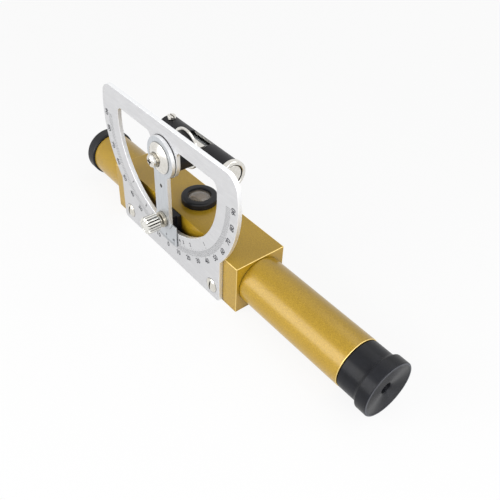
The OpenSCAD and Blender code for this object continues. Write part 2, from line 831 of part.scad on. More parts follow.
module vial_seat() {
    color("#7a6248") along_x(seat_x, vial_y, vial_z)
        ring(holder_bore_r - seat_gap, sleeve_r + run_gap, seat_len);
}

// The openings above and below the vial, that the holder and the sleeve share
module vial_windows() {
    translate([-holder_window_half_len, vial_y - holder_window_half_w, vial_z - 2 * holder_r])
        cube([2 * holder_window_half_len, 2 * holder_window_half_w, 4 * holder_r]);
}

module vial_sleeve() {
    color("#8f8a78") difference() {
        along_x(sleeve_reach - sleeve_len, vial_y, vial_z) ring(sleeve_r, vial_r + seat_gap, sleeve_len);
        vial_windows();
    }
}

// A vial's outline with round ends, on its own Z axis
module capsule(r, half_length) {
    straight = 2 * (half_length - r);
    translate([0, 0, r - half_length]) {
        cylinder(h = straight, r = r);
        sphere(r);
        translate([0, 0, straight]) sphere(r);
    }
}

module vial_glass() {
    color("#dfe8e8", 0.4) along_x(0, vial_y, vial_z) difference() {
        capsule(vial_r, vial_half_len);
        capsule(vial_r - vial_wall, vial_half_len - vial_wall);
    }
}

module vial_spirit() {
    spirit_r = vial_r - vial_wall - seat_gap;
    color("#d7dcb0", 0.5) difference() {
        along_x(0, vial_y, vial_z) capsule(spirit_r, vial_half_len - vial_wall - seat_gap);
        along_x(0, vial_y, vial_z + spirit_r) capsule(bubble_w / 2, bubble_len / 2);
    }
}

module adjusting_screw() {
    seat = vial_z + holder_r + face_gap;
    tip = vial_z + sleeve_r + adjuster_room;
    color("#d2d0c8") translate([-adjuster_x, vial_y, 0]) difference() {
        union() {
            translate([0, 0, seat]) chamfered(adjuster_head_r, adjuster_head_h, adjuster_edge);
            translate([0, 0, tip]) cylinder(h = seat - tip + eps, r = adjuster_r);
        }
        translate([-adjuster_head_r, -slot_w / 2, seat + adjuster_head_h - slot_depth])
            cube([2 * adjuster_head_r, slot_w, past]);
    }
}

// Clamp

module clamp_collar() {
    color("#c9cacc") outward(arm_front_y, clamp_z) difference() {
        chamfered(collar_r, collar_len, collar_edge);
        translate([0, 0, -past]) cylinder(h = 2 * collar_len + past, r = stud_r + run_gap);
    }
}

// The knob's ridges end on: points outside its rim and roots inside it, in turn
module ridged_outline() {
    step = 180 / knob_ridges;
    tip_r = knob_r + knob_ridge_depth / 2;
    root_r = knob_r - knob_ridge_depth;
    polygon([for (i = [0 : 2 * knob_ridges - 1])
        (i % 2 == 0 ? tip_r : root_r) * [cos(i * step), sin(i * step)]]);
}

module clamp_knob() {
    color("#d9d8d3") difference() {
        union() {
            outward(knob_back_y, clamp_z) intersection() {
                chamfered(knob_r, knob_len, knob_edge);
                linear_extrude(knob_len) ridged_outline();
            }
            outward(neck_back_y, clamp_z) cylinder(h = neck_len + eps, r = neck_r);
        }
        outward(neck_back_y + past, clamp_z)
            cylinder(h = past + neck_back_y - stud_front_y + eps, r = stud_r + seat_gap);
    }
}

module clamp_stud() {
    color("#b4b2aa") outward(stud_back_y, clamp_z)
        cylinder(h = stud_back_y - stud_front_y, r = stud_r);
}

module clamp_jaw() {
    color("#18181a") difference() {
        union() {
            outward(jaw_back_y, pivot_z) linear_extrude(jaw_t) jaw_outline(jaw_half_w, jaw_outer_r);
            outward(jaw_front_y + eps, pivot_z) linear_extrude(jaw_front_y - boss_front_y + eps)
                jaw_outline(boss_half_w, boss_outer_r);
        }
        outward(jaw_back_y + past, clamp_z)
            cylinder(h = block_w, r = stud_r + run_gap);
    }
}

// The jaw's outline below the pivot, with its lower edge on an arc
module jaw_outline(half_w, outer_r) {
    intersection() {
        circle(outer_r);
        translate([-half_w, -outer_r]) square([2 * half_w, outer_r - jaw_top]);
    }
}

housing();
eyepiece_tube();
objective_tube();
eyecup();
eye_lens();
eye_lens_ring();
objective_ring();
objective_glass();
sighting_ring();
sighting_wire();
mirror_carrier();
bubble_mirror();
lens_ring();
bubble_lens();
arc_plate();
plate_screws();
pivot_axle();
friction_washer();
index_arm();
vernier_plate();
domed_washer();
spring_washer();
pivot_screw();
pivot_hub();
vial_saddle();
vial_holder();
vial_end_ring();
vial_end_plug();
vial_far_plug();
vial_seat();
vial_sleeve();
vial_glass();
vial_spirit();
adjusting_screw();
clamp_collar();
clamp_knob();
clamp_stud();
clamp_jaw();
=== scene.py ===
"""Looks of a hand-held clinometer level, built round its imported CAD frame.

Sizes are in millimetres in the part's frame: +X towards the eyepiece, -Y towards the arc
plate, +Z up, from the middle of the housing's underside. Each sub-assembly is a class that
holds its sizes, models its pieces and dresses them.
"""

import logging
import math
from dataclasses import dataclass, field
from enum import Enum, IntEnum
from functools import cached_property
from typing import Callable, NamedTuple, Sequence

import bpy
from mathutils import Matrix, Vector


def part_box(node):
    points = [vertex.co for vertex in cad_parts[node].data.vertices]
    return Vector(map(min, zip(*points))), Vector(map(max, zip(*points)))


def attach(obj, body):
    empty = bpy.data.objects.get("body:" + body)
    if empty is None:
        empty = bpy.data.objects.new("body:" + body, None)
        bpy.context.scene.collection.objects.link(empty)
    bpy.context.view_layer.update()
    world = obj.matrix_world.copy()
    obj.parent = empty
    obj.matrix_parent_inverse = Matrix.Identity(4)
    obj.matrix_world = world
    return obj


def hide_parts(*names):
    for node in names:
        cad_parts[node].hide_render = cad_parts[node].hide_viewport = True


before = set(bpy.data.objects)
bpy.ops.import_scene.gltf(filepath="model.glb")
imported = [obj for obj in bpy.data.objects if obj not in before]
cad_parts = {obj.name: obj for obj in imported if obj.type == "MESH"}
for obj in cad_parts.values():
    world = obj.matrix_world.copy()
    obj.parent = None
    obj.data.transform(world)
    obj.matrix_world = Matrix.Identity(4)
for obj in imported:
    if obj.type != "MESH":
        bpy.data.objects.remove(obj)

Piece = bpy.types.Object
Material = bpy.types.Material
Face = bpy.types.MeshPolygon
Socket = bpy.types.NodeSocket
Colour = tuple[int, int, int]
Pair = tuple[float, float]
Place = tuple[float, float, float]
Outline = Sequence[tuple[float, ...]]

LOG = logging.getLogger("level")
# A millimetre in metres, the least length that counts, and the gap between pieces that touch.
MM = 0.001
TINY = 0.01
GAP = 0.02
# How far a cutter runs past what it cuts.
PAST = 1.0
# Faces of a sheet whose normal lies less than this along Y are its edge.
SIDE = 0.8
# The places that several sub-assemblies share.
SIGHT_Z = 12.3
PIVOT_Z = 53.5
CLAMP_Z = 22.2
VIAL_Y = 3.2
VIAL_Z = 50.0


class Body(Enum):
    """The rigid bodies of the frame that pieces ride on."""

    SIGHT = "sight"
    INDEX = "index"
    CLAMP_SCREW = "clamp_screw"
    ADJUSTER = "adjuster"
    VIAL = "vial"


class Slot(Enum):
    """The material slots that new pieces are listed under; nothing here reads them."""

    GOLD = "gold"
    RUBBER = "rubber"
    BLACK = "black"
    SATIN = "satin"
    BRIGHT = "bright"
    STEEL = "steel"
    GLASS = "glass"
    SPIRIT = "spirit"


class Facets(IntEnum):
    """Facets round a turned piece, by its size."""

    DIMPLE = 32
    STEM = 48
    SCREW = 64
    PLAIN = 96
    TUBE = 128
    PLATE = 180


class Smooth(IntEnum):
    """The largest angle between faces, in degrees, that is shaded smooth."""

    NONE = 0
    RIDGED = 25
    PLAIN = 35
    SMALL = 40
    SOFT = 50


class Way(Enum):
    """The axes that turned pieces stand on, as (along, across) directions."""

    EYE = ((1, 0, 0), (0, 0, 1))
    OUT = ((0, -1, 0), (1, 0, 0))
    UP = ((0, 0, 1), (1, 0, 0))


class Corner(NamedTuple):
    """One corner of an outline: its two coordinates and its rounding, in millimetres."""

    u: float
    v: float
    round: float = 0.0


@dataclass(frozen=True)
class Line:
    """A turning axis: a point it runs through and the way it runs."""

    through: Place
    way: Way

    def at(self, along: float, radius: float) -> Vector:
        """The place, in metres, at a distance along the axis and a radius from it."""
        run, across = (Vector(v) for v in self.way.value)
        start = Vector(self.through)
        start -= run * start.dot(run)
        return (start + run * along + across * radius) * MM


SIGHT_LINE = Line((0, 0, SIGHT_Z), Way.EYE)
VIAL_LINE = Line((0, VIAL_Y, VIAL_Z), Way.EYE)
LENS_LINE = Line((0, VIAL_Y, 0), Way.UP)
PIVOT_LINE = Line((0, 0, PIVOT_Z), Way.OUT)
CLAMP_LINE = Line((0, 0, CLAMP_Z), Way.OUT)


def linear(red: int, green: int, blue: int) -> tuple[float, float, float, float]:
    """Turns a colour as a screen shows it, from 0 to 255, into a linear one."""

    def channel(value: int) -> float:
        """One channel's linear value."""
        share = value / 255
        return share / 12.92 if share <= 0.04045 else ((share + 0.055) / 1.055) ** 2.4

    return (channel(red), channel(green), channel(blue), 1.0)


def arc(centre: Pair, radius: float, start: float, end: float, step: float = 3.0) -> list[Corner]:
    """Points of an arc, with its angles in degrees from straight down towards +u.

    Args:
        centre: The arc's centre.
        radius: The arc's radius.
        start: The angle of its first point.
        end: The angle of its last point.
        step: The largest angle between two points.

    Returns:
        The points in order, both ends included.
    """
    count = max(2, math.ceil(abs(end - start) / step))
    angles = [math.radians(start + (end - start) * i / count) for i in range(count + 1)]
    return [Corner(centre[0] + radius * math.sin(a), centre[1] - radius * math.cos(a)) for a in angles]


def rounded(outline: Outline, closed: bool, steps: int = 5) -> list[Pair]:
    """Works out an outline's points, with each corner that asks for it rounded.

    Args:
        outline: The outline's corners in order.
        closed: Whether the last corner joins the first.
        steps: Points on each rounding.

    Returns:
        The outline's points.
    """
    corners = [Corner(*corner) for corner in outline]
    points: list[Pair] = []
    for i, corner in enumerate(corners):
        here = Vector(corner[:2])
        at_end = not closed and i in (0, len(corners) - 1)
        if corner.round == 0 or at_end:
            points.append((here.x, here.y))
            continue
        back = (Vector(corners[i - 1][:2]) - here).normalized()
        on = (Vector(corners[(i + 1) % len(corners)][:2]) - here).normalized()
        half = back.angle(on) / 2
        centre = here + (back + on).normalized() * (corner.round / math.sin(half))
        reach = corner.round / math.tan(half)
        first, last = here + back * reach - centre, here + on * reach - centre
        start = math.atan2(first.y, first.x)
        sweep = (math.atan2(last.y, last.x) - start + math.pi) % math.tau - math.pi
        for k in range(steps + 1):
            angle = start + sweep * k / steps
            point = (centre.x + corner.round * math.cos(angle), centre.y + corner.round * math.sin(angle))
            points.append(point)
    return points


def stair(start: float, radius: float, *moves: float | Pair) -> list[Corner]:
    """A profile in square steps, by turns across to a radius and along to a place.

    Args:
        start: The place of its first corner along the axis.
        radius: The radius of that corner.
        moves: Each next radius or place, alone or with the rounding of the corner it leads to.

    Returns:
        The profile's corners.
    """
    corners = [Corner(start, radius)]
    for i, move in enumerate(moves):
        value, rounding = move if isinstance(move, tuple) else (move, 0.0)
        last = corners[-1]
        corners.append(Corner(value, last.v, rounding) if i % 2 else Corner(last.u, value, rounding))
    return corners


def cap(base: float, radius: float, height: float, inner: float = 0.0, points: int = 8) -> list[Corner]:
    """The profile of a low round cap, from its foot in towards the axis.

    Args:
        base: The place of its foot along the axis.
        radius: The radius of its foot.
        height: The cap's height on the axis.
        inner: The radius where the profile stops.
        points: Steps from the foot to there.

    Returns:
        The profile's corners.
    """
    ball = (radius**2 + height**2) / (2 * height)
    radii = [radius + (inner - radius) * i / points for i in range(points + 1)]
    return [Corner(base + height - ball + math.sqrt(ball**2 - r**2), r) for r in radii]


def flipped(outline: Outline) -> list[Corner]:
    """The mirror image of an outline in u, in the other order."""
    return [Corner(-u, v, *rest) for u, v, *rest in reversed(outline)]


def capsule(end: float, radius: float, points: int = 8) -> list[Corner]:
    """The profile of a rod with round ends at an equal distance each way."""
    turns = [math.pi / 2 * (1 - i / points) for i in range(points + 1)]
    half = [Corner(end - radius + radius * math.sin(t), radius * math.cos(t)) for t in turns]
    return [*half, *flipped(half)]


class Bench:
    """The modelling bench: operators that start, shape, cut and finish a piece."""

    @staticmethod
    def clear() -> None:
        """Leaves edit mode and deselects everything."""
        if bpy.context.object and bpy.context.object.mode != "OBJECT":
            bpy.ops.object.mode_set(mode="OBJECT")
        bpy.ops.object.select_all(action="DESELECT")

    @staticmethod
    def pick(piece: Piece) -> None:
        """Makes a piece the only selected and active object."""
        Bench.clear()
        piece.select_set(True)
        bpy.context.view_layer.objects.active = piece

    @staticmethod
    def edit(piece: Piece) -> None:
        """Goes into edit mode with all of a piece selected."""
        Bench.pick(piece)
        bpy.ops.object.mode_set(mode="EDIT")
        bpy.ops.mesh.select_all(action="SELECT")

    @staticmethod
    def named(name: str) -> Piece:
        """Names the object just added and returns it."""
        piece = bpy.context.object
        piece.name = name
        piece.data.name = name
        return piece

    @staticmethod
    def chain(name: str, points: Sequence[Vector]) -> Piece:
        """Draws a chain of edges through points, and stays in edit mode with all of it selected.

        Args:
            name: The new object's name.
            points: The chain's points in metres.

        Returns:
            The new object.
        """
        Bench.clear()
        bpy.ops.mesh.primitive_plane_add(size=MM)
        piece = Bench.named(name)
        bpy.ops.object.mode_set(mode="EDIT")
        bpy.ops.mesh.select_mode(type="VERT")
        bpy.ops.mesh.select_all(action="SELECT")
        bpy.ops.mesh.merge(type="CENTER")
        bpy.ops.transform.translate(value=points[0])
        for here, there in zip(points, points[1:]):
            bpy.ops.mesh.extrude_region_move(TRANSFORM_OT_translate={"value": there - here})
        bpy.ops.mesh.select_all(action="SELECT")
        return piece

    @staticmethod
    def choose(piece: Piece, every: int) -> None:
        """Goes into edit mode with only each so many-th vertex of a piece selected."""
        bpy.ops.object.mode_set(mode="EDIT")
        bpy.ops.mesh.select_mode(type="VERT")
        bpy.ops.mesh.select_all(action="DESELECT")
        bpy.ops.object.mode_set(mode="OBJECT")
        for vertex in piece.data.vertices:
            vertex.select = vertex.index % every == 0
        bpy.ops.object.mode_set(mode="EDIT")

    @staticmethod
    def close_up() -> None:
        """Merges doubles and turns all faces outwards, and leaves edit mode."""
        bpy.ops.mesh.select_all(action="SELECT")
        bpy.ops.mesh.remove_doubles(threshold=TINY * MM / 2)
        bpy.ops.mesh.normals_make_consistent(inside=False)
        bpy.ops.object.mode_set(mode="OBJECT")

    @staticmethod
    def turned(name: str, outline: Outline, line: Line, facets: Facets = Facets.PLAIN) -> Piece:
        """Turns a profile round an axis.

        Args:
            name: The new piece's name.
            outline: The profile, as places along the axis and radii: a chain from axis to axis, or a
                loop where it starts off the axis.
            line: The turning axis.
            facets: Facets round the piece.

        Returns:
            The turned piece.
        """
        closed = outline[0][1] > TINY
        points = [line.at(along, radius) for along, radius in rounded(outline, closed)]
        piece = Bench.chain(name, [*points, points[0]] if closed else points)
        bpy.ops.mesh.spin(
            steps=int(facets), angle=math.tau, center=line.at(0, 0), axis=line.way.value[0]
        )
        Bench.close_up()
        return piece

    @staticmethod
    def rod(
        name: str, line: Line, radius: float, start: float, end: float, facets: Facets = Facets.PLAIN
    ) -> Piece:
        """Turns a plain round rod between two places along an axis."""
        return Bench.turned(name, stair(start, 0, radius, end, 0), line, facets)

    @staticmethod
    def drill(
        name: str, line: Line, radius: float, front: float, back: float, facets: Facets = Facets.STEM
    ) -> Piece:
        """Makes a cutter for a round hole through a sheet, between the Y of its two faces."""
        return Bench.rod(name, line, radius, -back - PAST, -front + PAST, facets)

    @staticmethod
    def plate(name: str, outline: Outline, front: float, back: float) -> Piece:
        """Cuts a flat piece out of sheet that faces -Y.

        Args:
            name: The new piece's name.
            outline: Its outline in X and Z.
            front: The Y of its front face.
            back: The Y of its back face.

        Returns:
            The flat piece.
        """
        points = [Vector((x, back, z)) * MM for x, z in rounded(outline, True)]
        piece = Bench.chain(name, [*points, points[0]])
        bpy.ops.mesh.remove_doubles(threshold=TINY * MM / 2)
        bpy.ops.mesh.edge_face_add()
        bpy.ops.mesh.extrude_region_move(TRANSFORM_OT_translate={"value": (0, (front - back) * MM, 0)})
        Bench.close_up()
        return piece

    @staticmethod
    def bar(name: str, low: Sequence[float], high: Sequence[float]) -> Piece:
        """Adds a bar between two corners, with its place in its mesh."""
        Bench.clear()
        bpy.ops.mesh.primitive_cube_add(size=MM)
        piece = Bench.named(name)
        Bench.edit(piece)
        bpy.ops.transform.resize(value=[h - l for l, h in zip(low, high)])
        bpy.ops.transform.translate(value=[(h + l) / 2 * MM for l, h in zip(low, high)])
        bpy.ops.object.mode_set(mode="OBJECT")
        return piece

    @staticmethod
    def modify(piece: Piece, kind: str, **settings: object) -> None:
        """Adds a modifier to a piece and applies it."""
        Bench.pick(piece)
        bpy.ops.object.modifier_add(type=kind)
        modifier = piece.modifiers[-1]
        for key, value in settings.items():
            setattr(modifier, key, value)
        bpy.ops.object.modifier_apply(modifier=modifier.name)

    @staticmethod
    def cut(piece: Piece, *cutters: Piece, join: bool = False) -> None:
        """Cuts other shapes away from a piece, or joins them to it, and removes them.

        Args:
            piece: The piece that stays.
            cutters: The shapes that are used up.
            join: Whether they are joined to the piece.
        """
        for cutter in cutters:
            Bench.modify(piece, "BOOLEAN", operation="UNION" if join else "DIFFERENCE", object=cutter)
            Bench.pick(cutter)
            bpy.ops.object.delete()

    @staticmethod
    def ease(piece: Piece, width: float, segments: int = 2, angle: float = 50.0) -> None:
        """Rounds a piece's sharp edges.

        Args:
            piece: The piece.
            width: The rounding's width in millimetres.
            segments: Faces across the rounding.
            angle: The least angle, in degrees, at which an edge is rounded.
        """
        limit = math.radians(angle)
        Bench.modify(
            piece, "BEVEL", width=width * MM, segments=segments, limit_method="ANGLE", angle_limit=limit
        )

    @staticmethod
    def trim(piece: Piece, finishes: Sequence[Material], chosen: Callable[[Face], int]) -> None:
        """Gives a piece several finishes.

        Args:
            piece: The piece.
            finishes: Its finishes.
            chosen: Tells which of them a face gets, by its place in that list.
        """
        for material in finishes:
            piece.data.materials.append(material)
        for face in piece.data.polygons:
            face.material_index = int(chosen(face))

    @staticmethod
    def smooth(piece: Piece, angle: Smooth) -> None:
        """Shades a piece smooth up to an angle, with its flat faces kept flat."""
        Bench.pick(piece)
        bpy.ops.object.shade_smooth_by_angle(angle=math.radians(angle))
        Bench.modify(piece, "WEIGHTED_NORMAL", keep_sharp=True)


@dataclass(frozen=True)
class Grain:
    """Noise: its size in millimetres, its octaves, and how far it is drawn out along each axis."""

    size: float
    detail: float = 3.0
    drawn: Place = (1, 1, 1)
    rough: float = 0.6


class NodeBoard:
    """A node tree, with short calls for the nodes that the finishes share."""

    def __init__(self, owner: Material | bpy.types.World) -> None:
        """Opens the tree of a new material or sky."""
        owner.use_nodes = True
        self.owner = owner
        self.tree = owner.node_tree
        self.grains: dict[Grain, Socket] = {}

    @staticmethod
    def started(name: str) -> "NodeBoard":
        """A board for a new material."""
        return NodeBoard(bpy.data.materials.new(name))

    @cached_property
    def place(self) -> Socket:
        """The place on a piece, in metres."""
        return self.node("TexCoord").outputs["Object"]

    def fill(self, node: bpy.types.Node, inputs: dict[str | int, object]) -> None:
        """Links each of a node's sockets that is given another socket, and sets the others."""
        for key, value in inputs.items():
            if isinstance(value, Socket):
                self.tree.links.new(value, node.inputs[key])
            else:
                node.inputs[key].default_value = value

    def node(
        self, kind: str, inputs: dict[str | int, object] | None = None, **settings: object
    ) -> bpy.types.Node:
        """Adds a node.

        Args:
            kind: Its type, without the word that all shader nodes' types start with.
            inputs: What its sockets are linked to or set to, by their names or places.
            settings: Its own settings.

        Returns:
            The node.
        """
        node = self.tree.nodes.new(f"ShaderNode{kind}")
        for key, value in settings.items():
            setattr(node, key, value)
        self.fill(node, inputs or {})
        return node

    def shade(self, **inputs: object) -> Material:
        """Links or sets the shader's sockets, with _ for a space in their names, and gives the material."""
        named = {key.replace("_", " "): value for key, value in inputs.items()}
        self.fill(self.tree.nodes["Principled BSDF"], named)
        return self.owner

    def noise(self, grain: Grain) -> Socket:
        """A grain's value, about 0.5 on average, from one node for each grain."""
        if grain not in self.grains:
            drawn = self.node("Mapping", {"Vector": self.place, "Scale": [1 / d for d in grain.drawn]})
            inputs = {"Vector": drawn.outputs["Vector"], "Scale": 1 / (grain.size * MM)}
            inputs |= {"Detail": grain.detail, "Roughness": grain.rough}
            self.grains[grain] = self.node("TexNoise", inputs).outputs["Fac"]
        return self.grains[grain]

    def rings(self, axis_z: float, pitch: float) -> Socket:
        """Rings of a pitch round the X axis at a height, both in millimetres."""
        moved = self.node("Mapping", {"Vector": self.place, "Location": (0, 0, -axis_z * MM)})
        waves_per_scale = 20
        inputs = {"Vector": moved.outputs["Vector"], "Scale": math.tau / (waves_per_scale * pitch * MM)}
        return self.node("TexWave", inputs, wave_type="RINGS", rings_direction="X").outputs["Fac"]

    def round_x(self) -> Socket:
        """The direction round the X axis, in which turned work is streaked."""
        return self.node("Tangent", direction_type="RADIAL", axis="X").outputs["Tangent"]

    def span(self, source: Socket, low: float, high: float, start: float = 0.3, end: float = 0.7) -> Socket:
        """Maps a value between start and end onto low to high."""
        inputs = {"Value": source, "From Min": start, "From Max": end, "To Min": low, "To Max": high}
        return self.node("MapRange", inputs).outputs["Result"]

    def sum_up(self, operation: str, first: Socket, second: Socket) -> Socket:
        """Works out one value from two, such as their product."""
        return self.node("Math", {0: first, 1: second}, operation=operation).outputs["Value"]

    def tint(self, share: Socket, first: Socket | Colour, second: Socket | Colour) -> Socket:
        """Mixes two colours, each a plain colour or a socket, by a share."""
        colours = [c if isinstance(c, Socket) else linear(*c) for c in (first, second)]
        inputs = {"Factor": share, 6: colours[0], 7: colours[1]}
        return self.node("Mix", inputs, data_type="RGBA").outputs[2]

    def bump(self, height: Socket, depth: float, under: Socket | None = None) -> Socket:
        """A normal with relief of a depth in millimetres, over another normal if one is given."""
        inputs = {"Height": height, "Distance": depth * MM}
        if under is not None:
            inputs["Normal"] = under
        return self.node("Bump", inputs).outputs["Normal"]

    def edges(self, radius: float, bent: float = 0.82, flat: float = 0.99) -> Socket:
        """Near 1 along outer edges, within a radius in millimetres, and 0 on open faces.

        Args:
            radius: How far from an edge still counts, in millimetres.
            bent: How far a normal still faces its own way where an edge is in full.
            flat: How far it does where a face counts as open.

        Returns:
            The edge's share.
        """
        soft = self.node("Bevel", {"Radius": radius * MM}, samples=4).outputs["Normal"]
        plain = self.node("NewGeometry").outputs["Normal"]
        facing = self.node("VectorMath", {0: soft, 1: plain}, operation="DOT_PRODUCT").outputs["Value"]
        return self.span(facing, 1.0, 0.0, bent, flat)

    def hollows(self, reach: float, deep: float = 0.15, open_air: float = 0.6) -> Socket:
        """Near 1 deep in corners and recesses, where shade falls, and 0 in the open; it masks painted shade.

        Args:
            reach: How far off a wall still counts, in millimetres.
            deep: The share of open air at which a place counts as deep.
            open_air: The share at which it counts as open.

        Returns:
            The depth's share.
        """
        air = self.node("AmbientOcclusion", {"Distance": reach * MM}, samples=6).outputs["AO"]
        return self.span(air, 1.0, 0.0, deep, open_air)

    def seen(self) -> Socket:
        """One for rays that come from the eye, a reflection or a glass, and 0 for other rays."""
        rays = self.node("LightPath").outputs
        direct = self.sum_up("MAXIMUM", rays["Is Camera Ray"], rays["Is Glossy Ray"])
        return self.sum_up("MAXIMUM", direct, rays["Is Transmission Ray"])


@dataclass(frozen=True)
class Skin:
    """A finish in two tones of grain, which also breaks its gloss and relief, with shade painted into its
    corners and recesses.
    """

    name: str
    colour: Colour
    fleck: Colour
    grain: Grain
    gloss: Pair
    relief: float = 0.01
    relief_grain: Grain | None = None
    share: float = 1.0
    # Painted shade: the colour laid into corners and recesses, and the reach, deep share and open share of
    # the mask that places it.
    grime: Colour | None = None
    corner: Place = (1.0, 0.3, 0.8)
    metal: float = 0.0

    def tone(self, board: NodeBoard) -> Socket:
        """The two colours, mixed by the grain."""
        return board.tint(board.span(board.noise(self.grain), 0.0, self.share), self.colour, self.fleck)

    def normal(self, board: NodeBoard) -> Socket:
        """The relief of the grain, or of a grain of its own."""
        return board.bump(board.noise(self.relief_grain or self.grain), self.relief)

    def settings(self, board: NodeBoard) -> dict[str, object]:
        """The shader's other sockets."""
        return {"Metallic": self.metal}

    def build(self) -> Material:
        """Makes the material."""
        board = NodeBoard.started(self.name)
        tone = self.tone(board)
        # Paints shade into corners and recesses, where ambient occlusion finds little open air.
        if self.grime is not None:
            tone = board.tint(board.hollows(*self.corner), tone, self.grime)
        gloss = board.span(board.noise(self.grain), *self.gloss)
        return board.shade(
            Base_Color=tone, Roughness=gloss, Normal=self.normal(board), **self.settings(board)
        )


@dataclass(frozen=True)
class BlastedGold(Skin):
    """Gold anodised aluminium with a fine sand-blasted grain and a slow drift of tone."""

    name: str = "gold_blasted"
    colour: Colour = (156, 122, 20)
    fleck: Colour = (190, 154, 40)
    grain: Grain = Grain(0.42, 2.0)
    gloss: Pair = (0.38, 0.54)
    relief: float = 0.05
    # Dark painted shade in the relief recess behind the plate and in the other corners.
    grime: Colour = (46, 33, 10)
    corner: Place = (4.0, 0.15, 0.6)
    metal: float = 0.15
    drift: Grain = Grain(14.0, 2.0)
    drift_share: float = 0.22
    coat_gloss: float = 0.28

    def tone(self, board: NodeBoard) -> Socket:
        """The two colours, with the first one in slow patches."""
        patches = board.span(board.noise(self.drift), 0.0, self.drift_share)
        return board.tint(patches, super().tone(board), self.colour)

    def settings(self, board: NodeBoard) -> dict[str, object]:
        """A clear coat over dull metal."""
        coat = {"Coat_Weight": 1.0, "Coat_Roughness": self.coat_gloss}
        return {"Metallic": self.metal, "Specular_IOR_Level": 0.0, **coat}


@dataclass(frozen=True)
class BlackAnodised(Skin):
    """Satin black anodising, smudged, and a little grey where its edges are worn."""

    name: str = "black_anodised"
    colour: Colour = (13, 13, 17)
    fleck: Colour = (74, 76, 84)
    grain: Grain = Grain(3.0)
    gloss: Pair = (0.36, 0.5)
    relief: float = 0.012
    relief_grain: Grain = Grain(0.22, 2.0)
    edge: float = 0.25
    wear: Grain = Grain(0.8)
    wear_share: float = 0.6
    shine: float = 0.3

    def tone(self, board: NodeBoard) -> Socket:
        """Black with patches of grey along its edges."""
        patches = board.span(board.noise(self.wear), 0.0, self.wear_share)
        worn = board.sum_up("MULTIPLY", board.edges(self.edge), patches)
        return board.tint(worn, self.colour, self.fleck)

    def settings(self, board: NodeBoard) -> dict[str, object]:
        """A weaker shine than plain paint has."""
        return {"Specular_IOR_Level": self.shine}


@dataclass(frozen=True)
class MouldedRubber(Skin):
    """Matte charcoal rubber: a pebbled skin over the rings of its turned mould, with a trace of bloom."""

    name: str = "rubber_moulded"
    colour: Colour = (9, 10, 15)
    fleck: Colour = (19, 21, 30)
    grain: Grain = Grain(0.35, 4.0)
    gloss: Pair = (0.36, 0.5)
    relief: float = 0.015
    # Near-black painted shade in the groove at the cup's foot and in its other hollows.
    grime: Colour = (4, 4, 6)
    corner: Place = (1.2, 0.15, 0.6)
    cloud: Grain = Grain(5.0)
    cloud_share: float = 0.6
    ring: float = 0.45
    ring_relief: float = 0.02
    shine: float = 0.3
    streak: float = 0.92
    streak_turn: float = 0.25

    def tone(self, board: NodeBoard) -> Socket:
        """Charcoal with clouds of dust."""
        dust = board.span(board.noise(self.cloud), 0.0, self.cloud_share)
        return board.tint(dust, self.colour, self.fleck)

    def normal(self, board: NodeBoard) -> Socket:
        """The skin's pebbles over the mould's rings."""
        under = board.bump(board.rings(SIGHT_Z, self.ring), self.ring_relief)
        return board.bump(board.noise(self.grain), self.relief, under)

    def settings(self, board: NodeBoard) -> dict[str, object]:
        """A weak shine, streaked across the rings."""
        streaks = {"Anisotropic": self.streak, "Anisotropic_Rotation": self.streak_turn}
        return {"Specular_IOR_Level": self.shine, "Tangent": board.round_x(), **streaks}


@dataclass(frozen=True)
class SatinSheet(Skin):
    """Satin aluminium sheet, with fine grain over long brush lines."""

    gloss: Pair = (0.42, 0.56)
    relief: float = 0.008
    relief_grain: Grain = Grain(0.18, 2.0)
    # Painted shade round the sunk screws and along parts that stand close to the sheet.
    grime: Colour = (44, 44, 46)
    metal: float = 0.85
    line_relief: float = 0.01

    def normal(self, board: NodeBoard) -> Socket:
        """The fine grain over the brush lines."""
        under = board.bump(board.noise(self.grain), self.line_relief)
        return board.bump(board.noise(self.relief_grain), self.relief, under)


@dataclass(frozen=True)
class BrightPlate(Skin):
    """Bright nickel plating with smudges, hair scratches and a warm cast."""

    name: str = "bright_nickel"
    colour: Colour = (228, 226, 221)
    fleck: Colour = (198, 193, 182)
    grain: Grain = Grain(1.5)
    gloss: Pair = (0.14, 0.26)
    relief: float = 0.002
    relief_grain: Grain = Grain(0.06, 2.0, (20, 1, 6))
    share: float = 0.5
    # Painted shade in slots, crosses and the corners round the heads.
    grime: Colour = (38, 36, 32)
    corner: Place = (0.9, 0.2, 0.75)
    metal: float = 1.0


@dataclass(frozen=True)
class TurnedMetal(Skin):
    """Metal as it comes off the lathe, with its tool marks."""

    grain: Grain = Grain(0.1, 2.0, (8, 1, 8))
    gloss: Pair = (0.22, 0.36)
    relief: float = 0.004
    metal: float = 1.0


@dataclass(frozen=True)
class ClearGlass:
    """Polished glass or clear spirit, with a trace of dust."""

    name: str
    colour: Colour
    clear: float = 1.0
    bend: float = 1.5
    dust: float = 0.06
    speck: Grain = Grain(0.6, 5.0)
    dusty: Pair = (0.55, 0.75)

    def build(self) -> Material:
        """Makes a see-through body whose gloss is broken by faint dust."""
        board = NodeBoard.started(self.name)
        return board.shade(
            Base_Color=linear(*self.colour),
            Transmission_Weight=self.clear,
            IOR=self.bend,
            Roughness=board.span(board.noise(self.speck), 0.0, self.dust, *self.dusty),
        )


def made(finish: Skin | ClearGlass) -> Material:
    """A wardrobe's field that holds a finish's material."""
    return field(default_factory=finish.build)


BRUSHED_ACROSS = Grain(0.12, drawn=(60, 1, 1))
BRUSHED_DOWN = Grain(0.12, drawn=(1, 1, 60))
FELTED = Grain(0.2)


